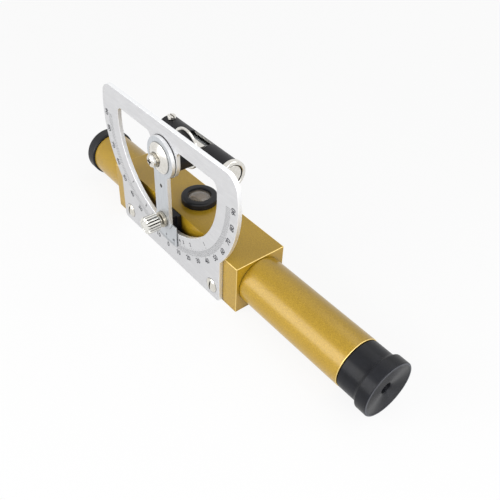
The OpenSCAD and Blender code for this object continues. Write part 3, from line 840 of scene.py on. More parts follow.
@dataclass
class Wardrobe:
    """All the finishes' materials, made once."""

    gold: Material = made(BlastedGold())
    # A lighter gold on edge faces: a painted highlight.
    gold_edge: Material = made(
        TurnedMetal("gold_edge_painted_highlight", (222, 192, 116), (240, 214, 146), gloss=(0.36, 0.42), relief=0.0006)
    )
    black: Material = made(BlackAnodised())
    rubber: Material = made(MouldedRubber())
    # Paler rubber on the lip's crest: a painted highlight.
    rubbed: Material = made(Skin("rubber_lip_painted_highlight", (66, 68, 76), (46, 48, 54), Grain(0.3), (0.4, 0.6)))
    satin: Material = made(SatinSheet("satin_sheet", (193, 193, 195), (213, 213, 214), BRUSHED_ACROSS))
    arm: Material = made(SatinSheet("satin_arm", (178, 181, 185), (200, 203, 206), BRUSHED_DOWN))
    # A lighter metal on the edge faces of the plate and arm: a painted highlight.
    sheet_edge: Material = made(
        TurnedMetal("sheet_edge_painted_highlight", (232, 233, 235), (242, 243, 244), gloss=(0.46, 0.52), relief=0.0006)
    )
    bright: Material = made(BrightPlate())
    # The flutes take a wider mask of painted shade, so their grooves read as dark lines.
    fluted: Material = made(
        BrightPlate("fluted_nickel", (238, 237, 232), (214, 211, 202), corner=(0.9, 0.5, 0.95))
    )
    # Painted shade round the sunk heads, in the gap to their countersinks.
    sunk: Material = made(BrightPlate("sunk_nickel", (222, 219, 211), corner=(0.9, 0.35, 0.97)))
    steel: Material = made(TurnedMetal("turned_steel", (160, 154, 140), (196, 190, 176)))
    brass: Material = made(TurnedMetal("turned_brass", (178, 140, 66), (214, 178, 98)))
    plated: Material = made(TurnedMetal("plated_sleeve", (196, 194, 188), (222, 220, 214)))
    mirror: Material = made(TurnedMetal("silvered_face", (226, 228, 232), (236, 238, 240)))
    glass: Material = made(ClearGlass("clear_glass", (244, 250, 248)))
    lens: Material = made(ClearGlass("lens_glass", (232, 220, 204), 0.86))
    vial: Material = made(ClearGlass("vial_glass", (206, 210, 212), 0.8))
    spirit: Material = made(ClearGlass("clear_spirit", (226, 230, 204), 0.8, 1.36, 0.0))
    ink: Material = made(Skin("scale_ink", (24, 25, 30), (46, 47, 54), Grain(0.15), (0.45, 0.65)))
    washer: Material = made(Skin("black_fibre", (20, 20, 21), (34, 34, 36), FELTED, (0.65, 0.85)))
    # Painted shade for the inside of the index arm's dimple.
    grime: Material = made(Skin("dimple_painted_shade", (66, 64, 60), (40, 38, 36), FELTED, (0.5, 0.7)))
    # White lining in the vial holder's windows: partly a real white backing, partly a painted highlight
    # along the glass.
    lining: Material = made(Skin("white_lining_and_painted_highlight", (246, 245, 240), (236, 234, 228), FELTED, (0.4, 0.6)))
    cork: Material = made(Skin("cork_seat", (150, 112, 70), (104, 74, 44), Grain(0.6), (0.75, 0.95)))


def dress(
    piece: Piece, finish: Material, body: Body, slot: Slot | None, *nodes: str, smooth: Smooth = Smooth.PLAIN
) -> None:
    """Smooths a modelled piece, and gives it its finish and its place in the frame.

    Args:
        piece: The piece.
        finish: Its finish, unless it has been given one before.
        body: The body it rides on.
        slot: The material slot named for it, if it has one; it is not used.
        nodes: The CAD nodes it stands for.
        smooth: Up to which angle it is shaded smooth.
    """
    if smooth is not Smooth.NONE:
        Bench.smooth(piece, smooth)
    if not piece.data.materials:
        piece.data.materials.append(finish)
    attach(piece, body.value)
    if nodes:
        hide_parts(*nodes)
    LOG.info("%s on %s", piece.name, body.value)


def carry(material: Material, *nodes: str) -> None:
    """Keeps CAD nodes as they are, with a finish in place of their plain colour."""
    for name in nodes:
        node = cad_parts[name]
        node.data.materials.clear()
        node.data.materials.append(material)
        LOG.info("%s carried over", name)


def node_box(name: str) -> tuple[Vector, Vector]:
    """A CAD node's lowest and highest corners in millimetres."""
    low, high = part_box(name)
    return low / MM, high / MM


def is_side(face: Face) -> bool:
    """Whether a face of a sheet piece is on its edge and not on its front or back."""
    return abs(face.normal.y) < SIDE


@dataclass
class Assembly:
    """A group of pieces, with the finishes they are dressed in."""

    look: Wardrobe


@dataclass
class SightTube(Assembly):
    """The square housing, its two tubes and what is inside them."""

    edge: float = 0.25
    relief_edge: float = 0.15
    relief_angle: float = 60.0
    relief_depth: float = 2.6
    relief_r: float = 42.0
    bore: float = 8.6
    socket: float = 10.0
    socket_depth: float = 9.5
    lens_hole: float = 5.3
    lens_seat: float = 6.6
    lens_seat_depth: float = 2.2
    tube_r: float = 11.0
    tube_bore: float = 8.0
    tube_edge: float = 0.28
    cup_seat: float = 9.5
    eye_lens: float = 8.62
    eye_lens_depth: float = 4.9
    object_seat: float = 10.2

    def build(self) -> None:
        """Models the housing and tubes, and dresses what is inside."""
        self.housing()
        self.eyepiece_tube()
        self.objective_tube()
        carry(self.look.glass, "eye_lens")
        carry(self.look.black, "eye_lens_ring", "mirror_carrier")
        carry(self.look.brass, "sighting_ring")
        carry(self.look.steel, "sighting_wire")
        carry(self.look.mirror, "bubble_mirror")

    def housing(self) -> None:
        """Eases a bar's edges, then bores it and cuts the relief behind the plate."""
        low, high = node_box("housing")
        block = Bench.bar("housing_block", low, high)
        for material in (self.look.gold, self.look.gold_edge):
            block.data.materials.append(material)
        Bench.edit(block)
        # Its bevel faces take the second finish, a lighter gold painted as a highlight along the edges.
        bpy.ops.mesh.bevel(offset=self.edge * MM, segments=3, affect="EDGES", material=1)
        bpy.ops.object.mode_set(mode="OBJECT")
        past = 2 * PAST
        inner, outer = high.x - self.socket_depth, high.x + past
        half = stair(inner, self.bore, self.socket, outer, 0)
        seat, top = high.z - self.lens_seat_depth, high.z + past
        lens = stair(SIGHT_Z, 0, self.lens_hole, seat, self.lens_seat, top, 0)
        floor = -low.y - self.relief_depth
        Bench.cut(
            block,
            Bench.turned("bore_cutter", [*flipped(half), *half], SIGHT_LINE),
            Bench.rod("relief_cutter", PIVOT_LINE, self.relief_r, floor, -low.y + past, Facets.PLATE),
            Bench.turned("lens_cutter", lens, LENS_LINE),
        )
        Bench.ease(block, self.relief_edge, angle=self.relief_angle)
        dress(block, self.look.gold, Body.SIGHT, Slot.GOLD, "housing")

    def eyepiece_tube(self) -> None:
        """Turns the long tube with its spigot, cup seat and lens seat."""
        low, high = node_box("eyepiece_tube")
        shoulder, end = node_box("housing")[1].x, node_box("eyecup")[0].x
        outside = (self.socket - GAP, shoulder, (self.tube_r, self.tube_edge), (end, self.tube_edge))
        inside = (self.eye_lens, high.x - self.eye_lens_depth, self.tube_bore)
        profile = stair(low.x, self.tube_bore, *outside, self.cup_seat, high.x, *inside)
        tube = Bench.turned("eyepiece_tube_turned", profile, SIGHT_LINE, Facets.TUBE)
        self.dress_tube(tube, end, "eyepiece_tube")

    def objective_tube(self) -> None:
        """Turns the short tube with its spigot and ring seat."""
        low, high = node_box("objective_tube")
        shoulder, end = node_box("housing")[0].x, node_box("objective_ring")[1].x
        outside = (self.object_seat, end, (self.tube_r, self.tube_edge), (shoulder, self.tube_edge))
        profile = stair(low.x, self.tube_bore, *outside, self.socket - GAP, high.x, self.tube_bore)
        tube = Bench.turned("objective_tube_turned", profile, SIGHT_LINE, Facets.TUBE)
        self.dress_tube(tube, end, "objective_tube")

    def dress_tube(self, tube: Piece, end: float, node: str) -> None:
        """Dresses a tube, with the rounding at its outer end in a lighter gold: a painted highlight."""

        def at_end(face: Face) -> bool:
            """Whether a face lies on that rounding."""
            place = face.center / MM
            reach = math.hypot(place.y, place.z - SIGHT_Z)
            return abs(place.x - end) < self.tube_edge and reach > self.tube_r - 2 * self.tube_edge

        Bench.trim(tube, (self.look.gold, self.look.gold_edge), at_end)
        dress(tube, self.look.gold, Body.SIGHT, Slot.GOLD, node)


@dataclass
class TubeEnds(Assembly):
    """The rubber eyecup, and the black ring and glass of the objective."""

    cup_bore: float = 9.52
    cup_seat_len: float = 7.0
    sleeve_r: float = 10.85
    sleeve_len: float = 9.7
    sleeve_round: float = 0.25
    rim_r: float = 12.2
    rim_round: float = 0.5
    flare: float = 1.3
    flare_rounds: Pair = (1.2, 0.7)
    lip_r: float = 11.2
    lip_step: float = 0.12
    lip_round: float = 0.1
    groove_w: float = 0.4
    groove_depth: float = 0.8
    sink_r: float = 2.8
    sink_depth: float = 0.25
    peep_r: float = 2.45
    peep_round: float = 0.15
    dish_depth: float = 1.05
    dish_power: float = 1.3
    dish_points: int = 9
    ring_r: float = 12.0
    ring_round: float = 0.8
    ring_stop: float = 8.4
    stop_round: float = 0.3
    ring_seat: float = 10.22
    glass_r: float = 9.4
    glass_round: float = 0.1
    glass_bulge: float = 0.35
    bulge_room: float = 0.05
    bulge_midway: Pair = (0.72, 0.5)

    def build(self) -> None:
        """Models the eyecup, the objective ring and its glass."""
        self.eyecup()
        self.objective()

    def dish(self, face: float) -> list[Corner]:
        """The eyecup's shallow face, from its lip in to the edge of the peep hole's sink."""
        width, fall = self.lip_r - self.sink_r, self.dish_depth - self.lip_step
        shares = [i / self.dish_points for i in range(self.dish_points + 1)]
        return [
            Corner(face - self.lip_step - fall * share**self.dish_power, self.lip_r - width * share)
            for share in shares
        ]

    def eyecup(self) -> None:
        """Turns the eyecup: a sleeve, a thicker rim and a soft hollow face."""
        low, high = node_box("eyecup")
        rim, floor = low.x + self.sleeve_len, low.x + self.cup_seat_len
        groove, root = low.x + self.groove_w, self.sleeve_r - self.groove_depth
        dish = self.dish(high.x)
        profile = [
            *stair(low.x, self.cup_bore, root, groove, (self.sleeve_r, self.sleeve_round)),
            (rim - self.flare / 2, self.sleeve_r, self.flare_rounds[0]),
            (rim + self.flare / 2, self.rim_r, self.flare_rounds[1]),
            (high.x, self.rim_r, self.rim_round), (high.x, self.lip_r, self.lip_round),
            *dish, (dish[-1].u - self.sink_depth, self.peep_r, self.peep_round),
            (floor, self.peep_r), (floor, self.cup_bore),
        ]
        cup = Bench.turned("eyecup_moulded", profile, SIGHT_LINE, Facets.TUBE)

        def on_lip(face: Face) -> bool:
            """Whether a face lies on the crest of the lip."""
            return face.center.x / MM > high.x - self.lip_step / 2

        # The lip's crest gets paler rubber, painted as a highlight.
        Bench.trim(cup, (self.look.rubber, self.look.rubbed), on_lip)
        dress(cup, self.look.rubber, Body.SIGHT, Slot.RUBBER, "eyecup", smooth=Smooth.SOFT)

    def objective(self) -> None:
        """Turns the objective ring and a faintly bulged glass behind its lip."""
        low, high = node_box("objective_ring")
        front, back = (corner.x for corner in node_box("objective_glass"))
        pocket, stop = self.glass_r + GAP, front - TINY
        outside = ((self.ring_r, self.ring_round), (high.x, self.ring_round), self.ring_seat, back)
        profile = stair(low.x, self.ring_stop, *outside, pocket, stop, self.ring_stop)
        profile[0] = Corner(low.x, self.ring_stop, self.stop_round)
        piece = Bench.turned("objective_ring_turned", profile, SIGHT_LINE, Facets.TUBE)
        dress(piece, self.look.black, Body.SIGHT, Slot.BLACK, "objective_ring")
        rise, reach = self.bulge_midway
        rim = (self.glass_r, self.glass_round)
        profile = [
            (front - self.glass_bulge, 0), (front - self.glass_bulge * rise, self.ring_stop * reach),
            *stair(front, self.ring_stop - self.bulge_room, rim, (back, self.glass_round), 0),
        ]
        piece = Bench.turned("objective_glass_ground", profile, SIGHT_LINE)
        dress(piece, self.look.glass, Body.SIGHT, Slot.GLASS, "objective_glass")


@dataclass
class BubbleLens(Assembly):
    """The black ring on the housing's top with the lens that shows the bubble."""

    ring_r: float = 8.3
    foot_round: float = 0.25
    lip_round: float = 0.9
    opening: float = 5.3
    throat_round: float = 0.4
    spigot: float = 6.58
    pocket: float = 5.82
    bulge: float = 1.0
    lens_room: float = 0.05

    def build(self) -> None:
        """Turns the ring and the lens."""
        low, high = node_box("lens_ring")
        lens_low, lens_high = node_box("bubble_lens")
        top = node_box("housing")[1].z
        rim, wall = lens_high.z - self.bulge, self.pocket - GAP
        outside = (self.spigot, top, (self.ring_r, self.foot_round), (high.z, self.lip_round))
        profile = stair(low.z, self.pocket, *outside, (self.opening, self.throat_round), rim, self.pocket)
        piece = Bench.turned("lens_ring_turned", profile, LENS_LINE)
        dress(piece, self.look.black, Body.SIGHT, Slot.BLACK, "lens_ring")
        profile = stair(lens_low.z, 0, wall, rim) + cap(rim, self.opening - self.lens_room, self.bulge)
        piece = Bench.turned("bubble_lens_ground", profile, LENS_LINE)
        dress(piece, self.look.lens, Body.SIGHT, Slot.GLASS, "bubble_lens")


@dataclass
class Scale:
    """Ink in the lines and figures of a scale about the pivot, on a face towards -Y."""

    name: str
    body: Body
    face_y: float
    depth: float = 0.02
    line_w: float = 0.12
    type_size: float = 1.4
    type_weight: float = 0.035
    marks: list[Piece] = field(default_factory=list)

    def ticks(self, inner: float, outer: float, half_angle: float, count: int, wide: float = 1.0) -> None:
        """Rules a row of equal lines.

        Args:
            inner: The radius where each line starts.
            outer: The radius where it ends.
            half_angle: Degrees from the middle to the first and last line.
            count: Spaces between the first line and the last.
            wide: The lines' width, in times of the scale's plain line.
        """
        half = self.line_w * wide / 2
        mark = Bench.bar(
            f"{self.name}_tick",
            (-half, self.face_y - self.depth, PIVOT_Z - outer),
            (half, self.face_y + self.depth, PIVOT_Z - inner),
        )
        Bench.edit(mark)
        centre = Vector((0, self.face_y, PIVOT_Z)) * MM
        sweep = math.radians(2 * half_angle)
        bpy.ops.transform.rotate(value=sweep / 2, orient_axis="Y", center_override=centre)
        bpy.ops.mesh.spin(steps=count, dupli=True, angle=sweep, center=centre, axis=(0, -1, 0))
        bpy.ops.object.mode_set(mode="OBJECT")
        self.marks.append(mark)

    def figure(self, text: str, radius: float, angle: float, height: float) -> None:
        """Sets a figure with its foot away from the pivot.

        Args:
            text: The digits.
            radius: The radius of the figure's middle.
            angle: Degrees from straight down towards +X.
            height: The digits' height.
        """
        Bench.clear()
        bpy.ops.object.text_add()
        label = bpy.context.object
        label.data.body = text
        label.data.size = height * MM * self.type_size
        label.data.align_x = "CENTER"
        label.data.align_y = "CENTER"
        label.data.extrude = self.depth * MM
        label.data.offset = height * MM * self.type_weight
        turn = math.radians(angle)
        centre = Vector((radius * math.sin(turn), self.face_y, PIVOT_Z - radius * math.cos(turn))) * MM
        upright = Matrix.Rotation(-turn, 4, "Y") @ Matrix.Rotation(math.pi / 2, 4, "X")
        label.matrix_world = Matrix.Translation(centre) @ upright
        bpy.ops.object.convert(target="MESH")
        bpy.ops.object.transform_apply(location=True, rotation=True, scale=True)
        self.marks.append(bpy.context.object)

    def finish(self, material: Material) -> None:
        """Joins all the marks into one piece and inks it."""
        Bench.clear()
        for mark in self.marks:
            mark.select_set(True)
        bpy.context.view_layer.objects.active = self.marks[0]
        bpy.ops.object.join()
        piece = Bench.named(self.name)
        bpy.ops.object.mode_set(mode="EDIT")
        Bench.close_up()
        dress(piece, material, self.body, None, smooth=Smooth.NONE)


@dataclass
class ArcPlate(Assembly):
    """The graduated plate on the housing's side, and its two screws."""

    arc_r: float = 49.5
    top: float = 15.0
    corner: float = 7.0
    corner_step: float = 8.0
    foot: float = 38.5
    foot_round: float = 1.6
    window_r: float = 36.5
    window_top: float = 7.0
    window_corner: float = 3.0
    window_step: float = 10.0
    tab_r: float = 9.5
    tab_fillet: float = 3.0
    tab_step: float = 5.0
    bore: float = 4.5
    edge: float = 0.22
    screw_x: float = 33.0
    screw_z: float = 5.9
    screw_head: float = 3.4
    screw_hole: float = 1.65
    screw_room: float = 0.3
    screw_cone: float = 1.35
    screw_dome: float = 1.1
    thread_room: float = 0.17
    thread_round: float = 0.2
    slot_w: float = 0.8
    slot_depth: float = 0.6
    reach: int = 90
    digit_r: float = 46.9
    digit_h: float = 2.3
    tick_inner: float = 42.1
    tick_outer: float = 44.9
    tick_step: float = 0.3
    tens_bold: float = 1.3
    slope_r: float = 39.6
    slope_h: float = 1.7
    slope_tick: float = 41.0
    slope_short: float = 0.5
    slope_gap: float = 0.3
    slope_bold: float = 1.2
    slopes: tuple[int, ...] = (10, 8, 6, 5, 4, 3, 2, 1)
    slope_steps: tuple[float, ...] = (20, 15, 12, 9, 7, 4.5, 3.5, 2.75, 2.5, 2.25, 1.8, 1.6, 1.4, 1.2)

    def build(self) -> None:
        """Models the plate, its scale and its screws."""
        self.plate()
        self.scale()
        self.screws()

    def screw_line(self, side: int) -> Line:
        """The axis of the screw on one side, -1 or 1."""
        return Line((side * self.screw_x, 0, self.screw_z), Way.OUT)

    def outline(self) -> list[Corner]:
        """The plate's outer edge."""
        kink = math.degrees(math.asin(self.foot / self.arc_r))
        drop, inner = self.top - self.corner, self.arc_r - self.corner
        reach = math.sqrt(inner**2 - drop**2)
        meet = 90 + math.degrees(math.asin(drop / inner))
        half = [
            Corner(self.foot, 0, self.foot_round),
            *arc((0.0, PIVOT_Z), self.arc_r, kink, meet),
            *arc((reach, PIVOT_Z + drop), self.corner, meet, 180, self.corner_step)[1:],
        ]
        return [*half, *flipped(half)]

    def window(self) -> list[Corner]:
        """The edge of the open window, which runs round the tab from below."""
        drop, inner = self.window_top - self.window_corner, self.window_r - self.window_corner
        reach = math.sqrt(inner**2 - drop**2)
        meet = 90 + math.degrees(math.asin(drop / inner))
        middle = (0.0, PIVOT_Z)
        fillet = (self.tab_r + self.tab_fillet, PIVOT_Z + self.window_top - self.tab_fillet)
        half = [
            *arc(middle, self.window_r, 0, meet)[1:],
            *arc((reach, PIVOT_Z + drop), self.window_corner, meet, 180, self.window_step)[1:],
            *arc(fillet, self.tab_fillet, 180, 270, self.window_step),
            *arc(middle, self.tab_r, 90, 0, self.tab_step)[:-1],
        ]
        tab, foot = Corner(0, PIVOT_Z - self.tab_r), Corner(0, PIVOT_Z - self.window_r)
        return [*half, tab, *flipped(half), foot]

    def plate(self) -> None:
        """Cuts the plate from sheet, opens its window and holes, and eases its edges."""
        low, high = node_box("arc_plate")
        plate = Bench.plate("arc_plate_cut", self.outline(), low.y, high.y)
        front, back, wide = -low.y, -high.y - PAST, self.screw_head + self.screw_room
        sink = stair(back, 0, self.screw_hole, front - self.screw_cone)
        sink += [(front, wide), (front + PAST, wide), (front + PAST, 0)]
        Bench.cut(
            plate,
            Bench.plate("window_cutter", self.window(), low.y - PAST, high.y + PAST),
            Bench.drill("axle_cutter", PIVOT_LINE, self.bore, low.y, high.y, Facets.PLAIN),
            *(Bench.turned("sink_cutter", sink, self.screw_line(side), Facets.SCREW) for side in (-1, 1)),
        )
        Bench.ease(plate, self.edge, segments=3)
        # The plate's edge faces get a lighter metal, painted as a highlight.
        Bench.trim(plate, (self.look.satin, self.look.sheet_edge), is_side)
        dress(plate, self.look.satin, Body.SIGHT, Slot.SATIN, "arc_plate")

    def scale(self) -> None:
        """Rules the degrees, the slopes of one in so many, and their figures."""
        scale = Scale("arc_scale", Body.SIGHT, node_box("arc_plate")[0].y)
        fives, tens = self.tick_outer + self.tick_step, self.tick_outer + 2 * self.tick_step
        scale.ticks(self.tick_inner, self.tick_outer, self.reach, 2 * self.reach)
        scale.ticks(self.tick_outer, fives, self.reach, 2 * self.reach // 5)
        scale.ticks(fives, tens, self.reach, 2 * self.reach // 10, self.tens_bold)
        for angle in range(-self.reach, self.reach + 1, 10):
            scale.figure(str(abs(angle)), self.digit_r, angle, self.digit_h)
        end = self.tick_inner - self.slope_gap
        for slope in self.slopes:
            angle = math.degrees(math.atan(1 / slope))
            scale.ticks(self.slope_tick, end, angle, 1, self.slope_bold)
            for side in (-1, 1):
                scale.figure(str(slope), self.slope_r, side * angle, self.slope_h)
        for slope in self.slope_steps:
            scale.ticks(self.slope_tick + self.slope_short, end, math.degrees(math.atan(1 / slope)), 1)
        scale.finish(self.look.ink)

    def screws(self) -> None:
        """Turns the two sunk screws and saws their slots."""
        low, high = node_box("plate_screws")
        face = -node_box("arc_plate")[0].y
        thread = self.screw_hole - self.thread_room
        head = stair(-high.y, 0, (thread, self.thread_round), face - self.screw_cone)
        head += cap(face, self.screw_head, self.screw_dome)
        half, reach = self.slot_w / 2, self.screw_head + PAST
        for side, name in ((-1, "plate_screw_far"), (1, "plate_screw_near")):
            line = self.screw_line(side)
            screw = Bench.turned(name, head, line, Facets.SCREW)
            slot = Bench.bar(
                "slot_cutter",
                (line.through[0] - half, low.y - PAST, self.screw_z - reach),
                (line.through[0] + half, low.y + self.slot_depth, self.screw_z + reach),
            )
            Bench.cut(screw, slot)
            dress(screw, self.look.sunk, Body.SIGHT, Slot.BRIGHT, "plate_screws", smooth=Smooth.SMALL)


@dataclass
class IndexArm(Assembly):
    """The index arm, its vernier and the washers and screw of its pivot."""

    head_r: float = 9.3
    half_w: float = 5.0
    end_step: float = 6.0
    edge: float = 0.18
    dimple_drop: float = 13.7
    dimple_r: float = 0.9
    stud_hole: float = 1.55
    axle_hole: float = 2.62
    vernier_r: float = 43.6
    vernier_step: float = 1.5
    vernier_half: float = 8.0
    vernier_top: float = 32.4
    vernier_round: float = 0.4
    vernier_edge: float = 0.12
    vernier_reach: float = 8.25
    vernier_spaces: int = 18
    tick_end: float = 0.15
    tick_start: float = 1.3
    long_tick: float = 1.9
    long_bold: float = 1.2
    figure_in: float = 2.9
    figure_h: float = 1.2
    dome_r: float = 6.9
    dome_edge: float = 0.45
    dome_h: float = 2.4
    dome_seat: float = 1.5
    dome_room: float = 0.2
    dome_round: float = 0.08
    spring_r: float = 3.1
    spring_hole: float = 1.6
    spring_round: float = 0.15
    slit_start: float = 0.6
    slit_half: float = 0.15
    slit_tilt: float = 30.0
    thread_r: float = 1.48
    thread_round: float = 0.2
    pan_r: float = 2.7
    pan_foot_round: float = 0.12
    pan_side: float = 0.55
    pan_side_round: float = 0.35
    pan_top: float = 0.55
    pan_top_round: float = 0.8
    cross_w: float = 0.75
    cross_len: float = 2.9
    cross_depth: float = 1.0

    def build(self) -> None:
        """Models the arm and all that is on its pivot."""
        self.arm()
        self.vernier()
        self.washers()
        self.pivot_screw()
        carry(self.look.washer, "friction_washer")
        carry(self.look.steel, "pivot_axle")
        carry(self.look.black, "pivot_hub")

    def arm(self) -> None:
        """Cuts the arm from sheet, with a round head, a round end and a small dimple."""
        low, high = node_box("index_arm")
        meet = math.degrees(math.asin(self.half_w / self.head_r))
        half = arc((0.0, CLAMP_Z), self.half_w, 0, 90, self.end_step)[1:]
        half += arc((0.0, PIVOT_Z), self.head_r, meet, 180)
        outline = [(0, CLAMP_Z - self.half_w), *half, *flipped(half[:-1])]
        arm = Bench.plate("index_arm_cut", outline, low.y, high.y)
        front, past = -low.y, -low.y + PAST
        dimple = [(front - self.dimple_r, 0), (front, self.dimple_r), (past, self.dimple_r), (past, 0)]
        spot = Line((0, 0, PIVOT_Z - self.dimple_drop), Way.OUT)
        rebate = Bench.bar(
            "rebate_cutter",
            (-2 * self.half_w, node_box("vernier_plate")[0].y, low.z - PAST),
            (2 * self.half_w, high.y + PAST, PIVOT_Z - self.vernier_top),
        )
        Bench.cut(
            arm,
            Bench.turned("dimple_cutter", dimple, spot, Facets.DIMPLE),
            Bench.drill("axle_cutter", PIVOT_LINE, self.axle_hole, low.y, high.y),
            Bench.drill("stud_cutter", CLAMP_LINE, self.stud_hole, low.y, high.y),
            rebate,
        )
        Bench.ease(arm, self.edge, segments=3)

        def place_of(face: Face) -> int:
            """Tells the arm's faces, its edge with painted highlight and its dimple with painted shade
            apart.
            """
            off = face.center / MM - Vector(spot.through)
            # The dimple's faces get painted shade.
            if math.hypot(off.x, off.z) < self.dimple_r and face.center.y / MM > low.y + TINY:
                return 2
            return int(is_side(face))

        Bench.trim(arm, (self.look.arm, self.look.sheet_edge, self.look.grime), place_of)
        dress(arm, self.look.arm, Body.INDEX, Slot.SATIN, "index_arm")

    def vernier(self) -> None:
        """Cuts the vernier plate and rules its lines."""
        low, high = node_box("vernier_plate")
        top = PIVOT_Z - self.vernier_top
        side = math.degrees(math.asin(self.vernier_half / self.vernier_r))
        outline = [
            *arc((0.0, PIVOT_Z), self.vernier_r, -side, side, self.vernier_step),
            (self.vernier_half, top, self.vernier_round), (-self.vernier_half, top, self.vernier_round),
        ]
        plate = Bench.plate("vernier_plate_cut", outline, low.y, high.y)
        Bench.cut(plate, Bench.drill("stud_cutter", CLAMP_LINE, self.stud_hole, low.y, high.y))
        Bench.ease(plate, self.vernier_edge)
        dress(plate, self.look.arm, Body.INDEX, Slot.SATIN, "vernier_plate")
        scale = Scale("vernier_scale", Body.INDEX, low.y)
        start = self.vernier_r - self.tick_start
        scale.ticks(start, self.vernier_r - self.tick_end, self.vernier_reach, self.vernier_spaces)
        scale.ticks(self.vernier_r - self.long_tick, start, self.vernier_reach, 2, self.long_bold)
        for side, text in ((-1, "60"), (0, "0"), (1, "60")):
            scale.figure(text, self.vernier_r - self.figure_in, side * self.vernier_reach, self.figure_h)
        scale.finish(self.look.ink)

    def washers(self) -> None:
        """Turns the domed washer, and the split spring washer sunk in it."""
        back = -node_box("domed_washer")[1].y
        floor, sink = back + self.dome_seat, self.spring_r + self.dome_room
        dome = [
            *stair(back, self.spring_hole, (self.dome_r, self.dome_round)),
            *cap(back + self.dome_edge, self.dome_r, self.dome_h - self.dome_edge, sink),
            *stair(floor, sink, self.spring_hole),
        ]
        piece = Bench.turned("domed_washer_turned", dome, PIVOT_LINE)
        dress(piece, self.look.bright, Body.INDEX, Slot.BRIGHT, "domed_washer", smooth=Smooth.SMALL)
        low, high = node_box("spring_washer")
        outside = ((self.spring_r, self.spring_round), (-low.y, self.spring_round))
        spring = stair(-high.y, self.spring_hole, *outside, self.spring_hole)
        piece = Bench.turned("spring_washer_coiled", spring, PIVOT_LINE, Facets.SCREW)
        slit = Bench.bar(
            "slit_cutter",
            (self.slit_start, low.y - PAST, PIVOT_Z - self.slit_half),
            (self.spring_r + PAST, high.y + PAST, PIVOT_Z + self.slit_half),
        )
        Bench.edit(slit)
        centre = Vector((self.spring_r, (low.y + high.y) / 2, PIVOT_Z)) * MM
        bpy.ops.transform.rotate(
            value=math.radians(self.slit_tilt), orient_axis="X", center_override=centre
        )
        bpy.ops.object.mode_set(mode="OBJECT")
        Bench.cut(piece, slit)
        dress(piece, self.look.steel, Body.INDEX, Slot.STEEL, "spring_washer")

    def pivot_screw(self) -> None:
        """Turns the pan-headed pivot screw and sinks its cross."""
        low, high = node_box("pivot_screw")
        under, top = -node_box("spring_washer")[0].y, -low.y
        pan = ((self.pan_r, self.pan_foot_round), (top - self.pan_side, self.pan_side_round))
        profile = stair(-high.y, 0, (self.thread_r, self.thread_round), under, *pan)
        profile += [(top, self.pan_r * self.pan_top, self.pan_top_round), (top, 0)]
        screw = Bench.turned("pivot_screw_turned", profile, PIVOT_LINE, Facets.SCREW)
        half, reach = self.cross_w / 2, self.cross_len / 2
        arms = [
            Bench.bar(
                "cross_cutter",
                (-width, low.y - PAST, PIVOT_Z - height),
                (width, low.y + self.cross_depth, PIVOT_Z + height),
            )
            for width, height in ((half, reach), (reach, half))
        ]
        Bench.cut(screw, *arms)
        dress(screw, self.look.bright, Body.INDEX, Slot.BRIGHT, "pivot_screw", smooth=Smooth.SMALL)


@dataclass
class Clamp(Assembly):
    """The knurled clamp screw, its collar and the jaw behind the plate."""

    knob_r: float = 4.0
    ridges: int = 18
    ridge_points: int = 4
    ridge_depth: float = 0.46
    chamfer: float = 0.55
    hollow_r: float = 0.8
    hollow_floor: float = 0.96
    hollow_depth: float = 0.12
    neck_r: float = 2.3
    neck_len: float = 1.4
    neck_round: float = 0.15
    neck_lap: float = 0.5
    stud_bore: float = 1.52
    collar_r: float = 3.6
    collar_bore: float = 1.55
    collar_back: float = 0.15
    collar_front: float = 0.25

    def build(self) -> None:
        """Models the knob and collar, and dresses the stud and jaw."""
        self.knob()
        low, high = node_box("clamp_collar")
        outside = ((self.collar_r, self.collar_back), (-low.y, self.collar_front))
        collar = stair(-high.y, self.collar_bore, *outside, self.collar_bore)
        piece = Bench.turned("clamp_collar_turned", collar, CLAMP_LINE, Facets.SCREW)
        dress(piece, self.look.steel, Body.INDEX, Slot.STEEL, "clamp_collar")
        carry(self.look.steel, "clamp_stud")
        # The jaw is black anodised; its black also stands in for the shade in the recess behind the plate.
        carry(self.look.black, "clamp_jaw")

    def knob(self) -> None:
        """Ridges a disc, draws it out with broken ends, and adds the neck."""
        low, high = node_box("clamp_knob")
        back = high.y - self.neck_len
        Bench.clear()
        points = self.ridge_points * self.ridges
        bpy.ops.mesh.primitive_circle_add(
            vertices=points, radius=self.knob_r * MM, fill_type="NGON", rotation=(math.pi / 2, 0, 0)
        )
        bpy.ops.object.transform_apply(location=False, rotation=True, scale=False)
        knob = Bench.named("clamp_knob_knurled")
        Bench.choose(knob, self.ridge_points)
        root = 1 - self.ridge_depth / self.knob_r
        bpy.ops.transform.resize(value=(root, 1, root), center_override=(0, 0, 0))
        bpy.ops.mesh.select_mode(type="FACE")
        bpy.ops.mesh.select_all(action="SELECT")
        centre = Vector((0, back, CLAMP_Z)) * MM
        bpy.ops.transform.translate(value=centre)
        slim = 1 - self.chamfer / self.knob_r
        bpy.ops.transform.resize(value=(slim, 1, slim), center_override=centre)
        steps = (
            (self.chamfer, 1 / slim), (back - low.y - 2 * self.chamfer, 1.0), (self.chamfer, slim),
            (0.0, self.hollow_r), (-self.hollow_depth, self.hollow_floor),
        )
        for move, size in steps:
            bpy.ops.mesh.extrude_region_move(TRANSFORM_OT_translate={"value": (0, -move * MM, 0)})
            bpy.ops.transform.resize(value=(size, 1, size), center_override=centre)
        Bench.close_up()
        neck = stair(-high.y, 0, (self.neck_r, self.neck_round), -back + self.neck_lap, 0)
        Bench.cut(knob, Bench.turned("neck_blank", neck, CLAMP_LINE, Facets.SCREW), join=True)
        middle = -(back + low.y) / 2
        bore = Bench.rod("stud_cutter", CLAMP_LINE, self.stud_bore, -high.y - PAST, middle, Facets.STEM)
        Bench.cut(knob, bore)
        dress(knob, self.look.fluted, Body.CLAMP_SCREW, Slot.BRIGHT, "clamp_knob", smooth=Smooth.RIDGED)


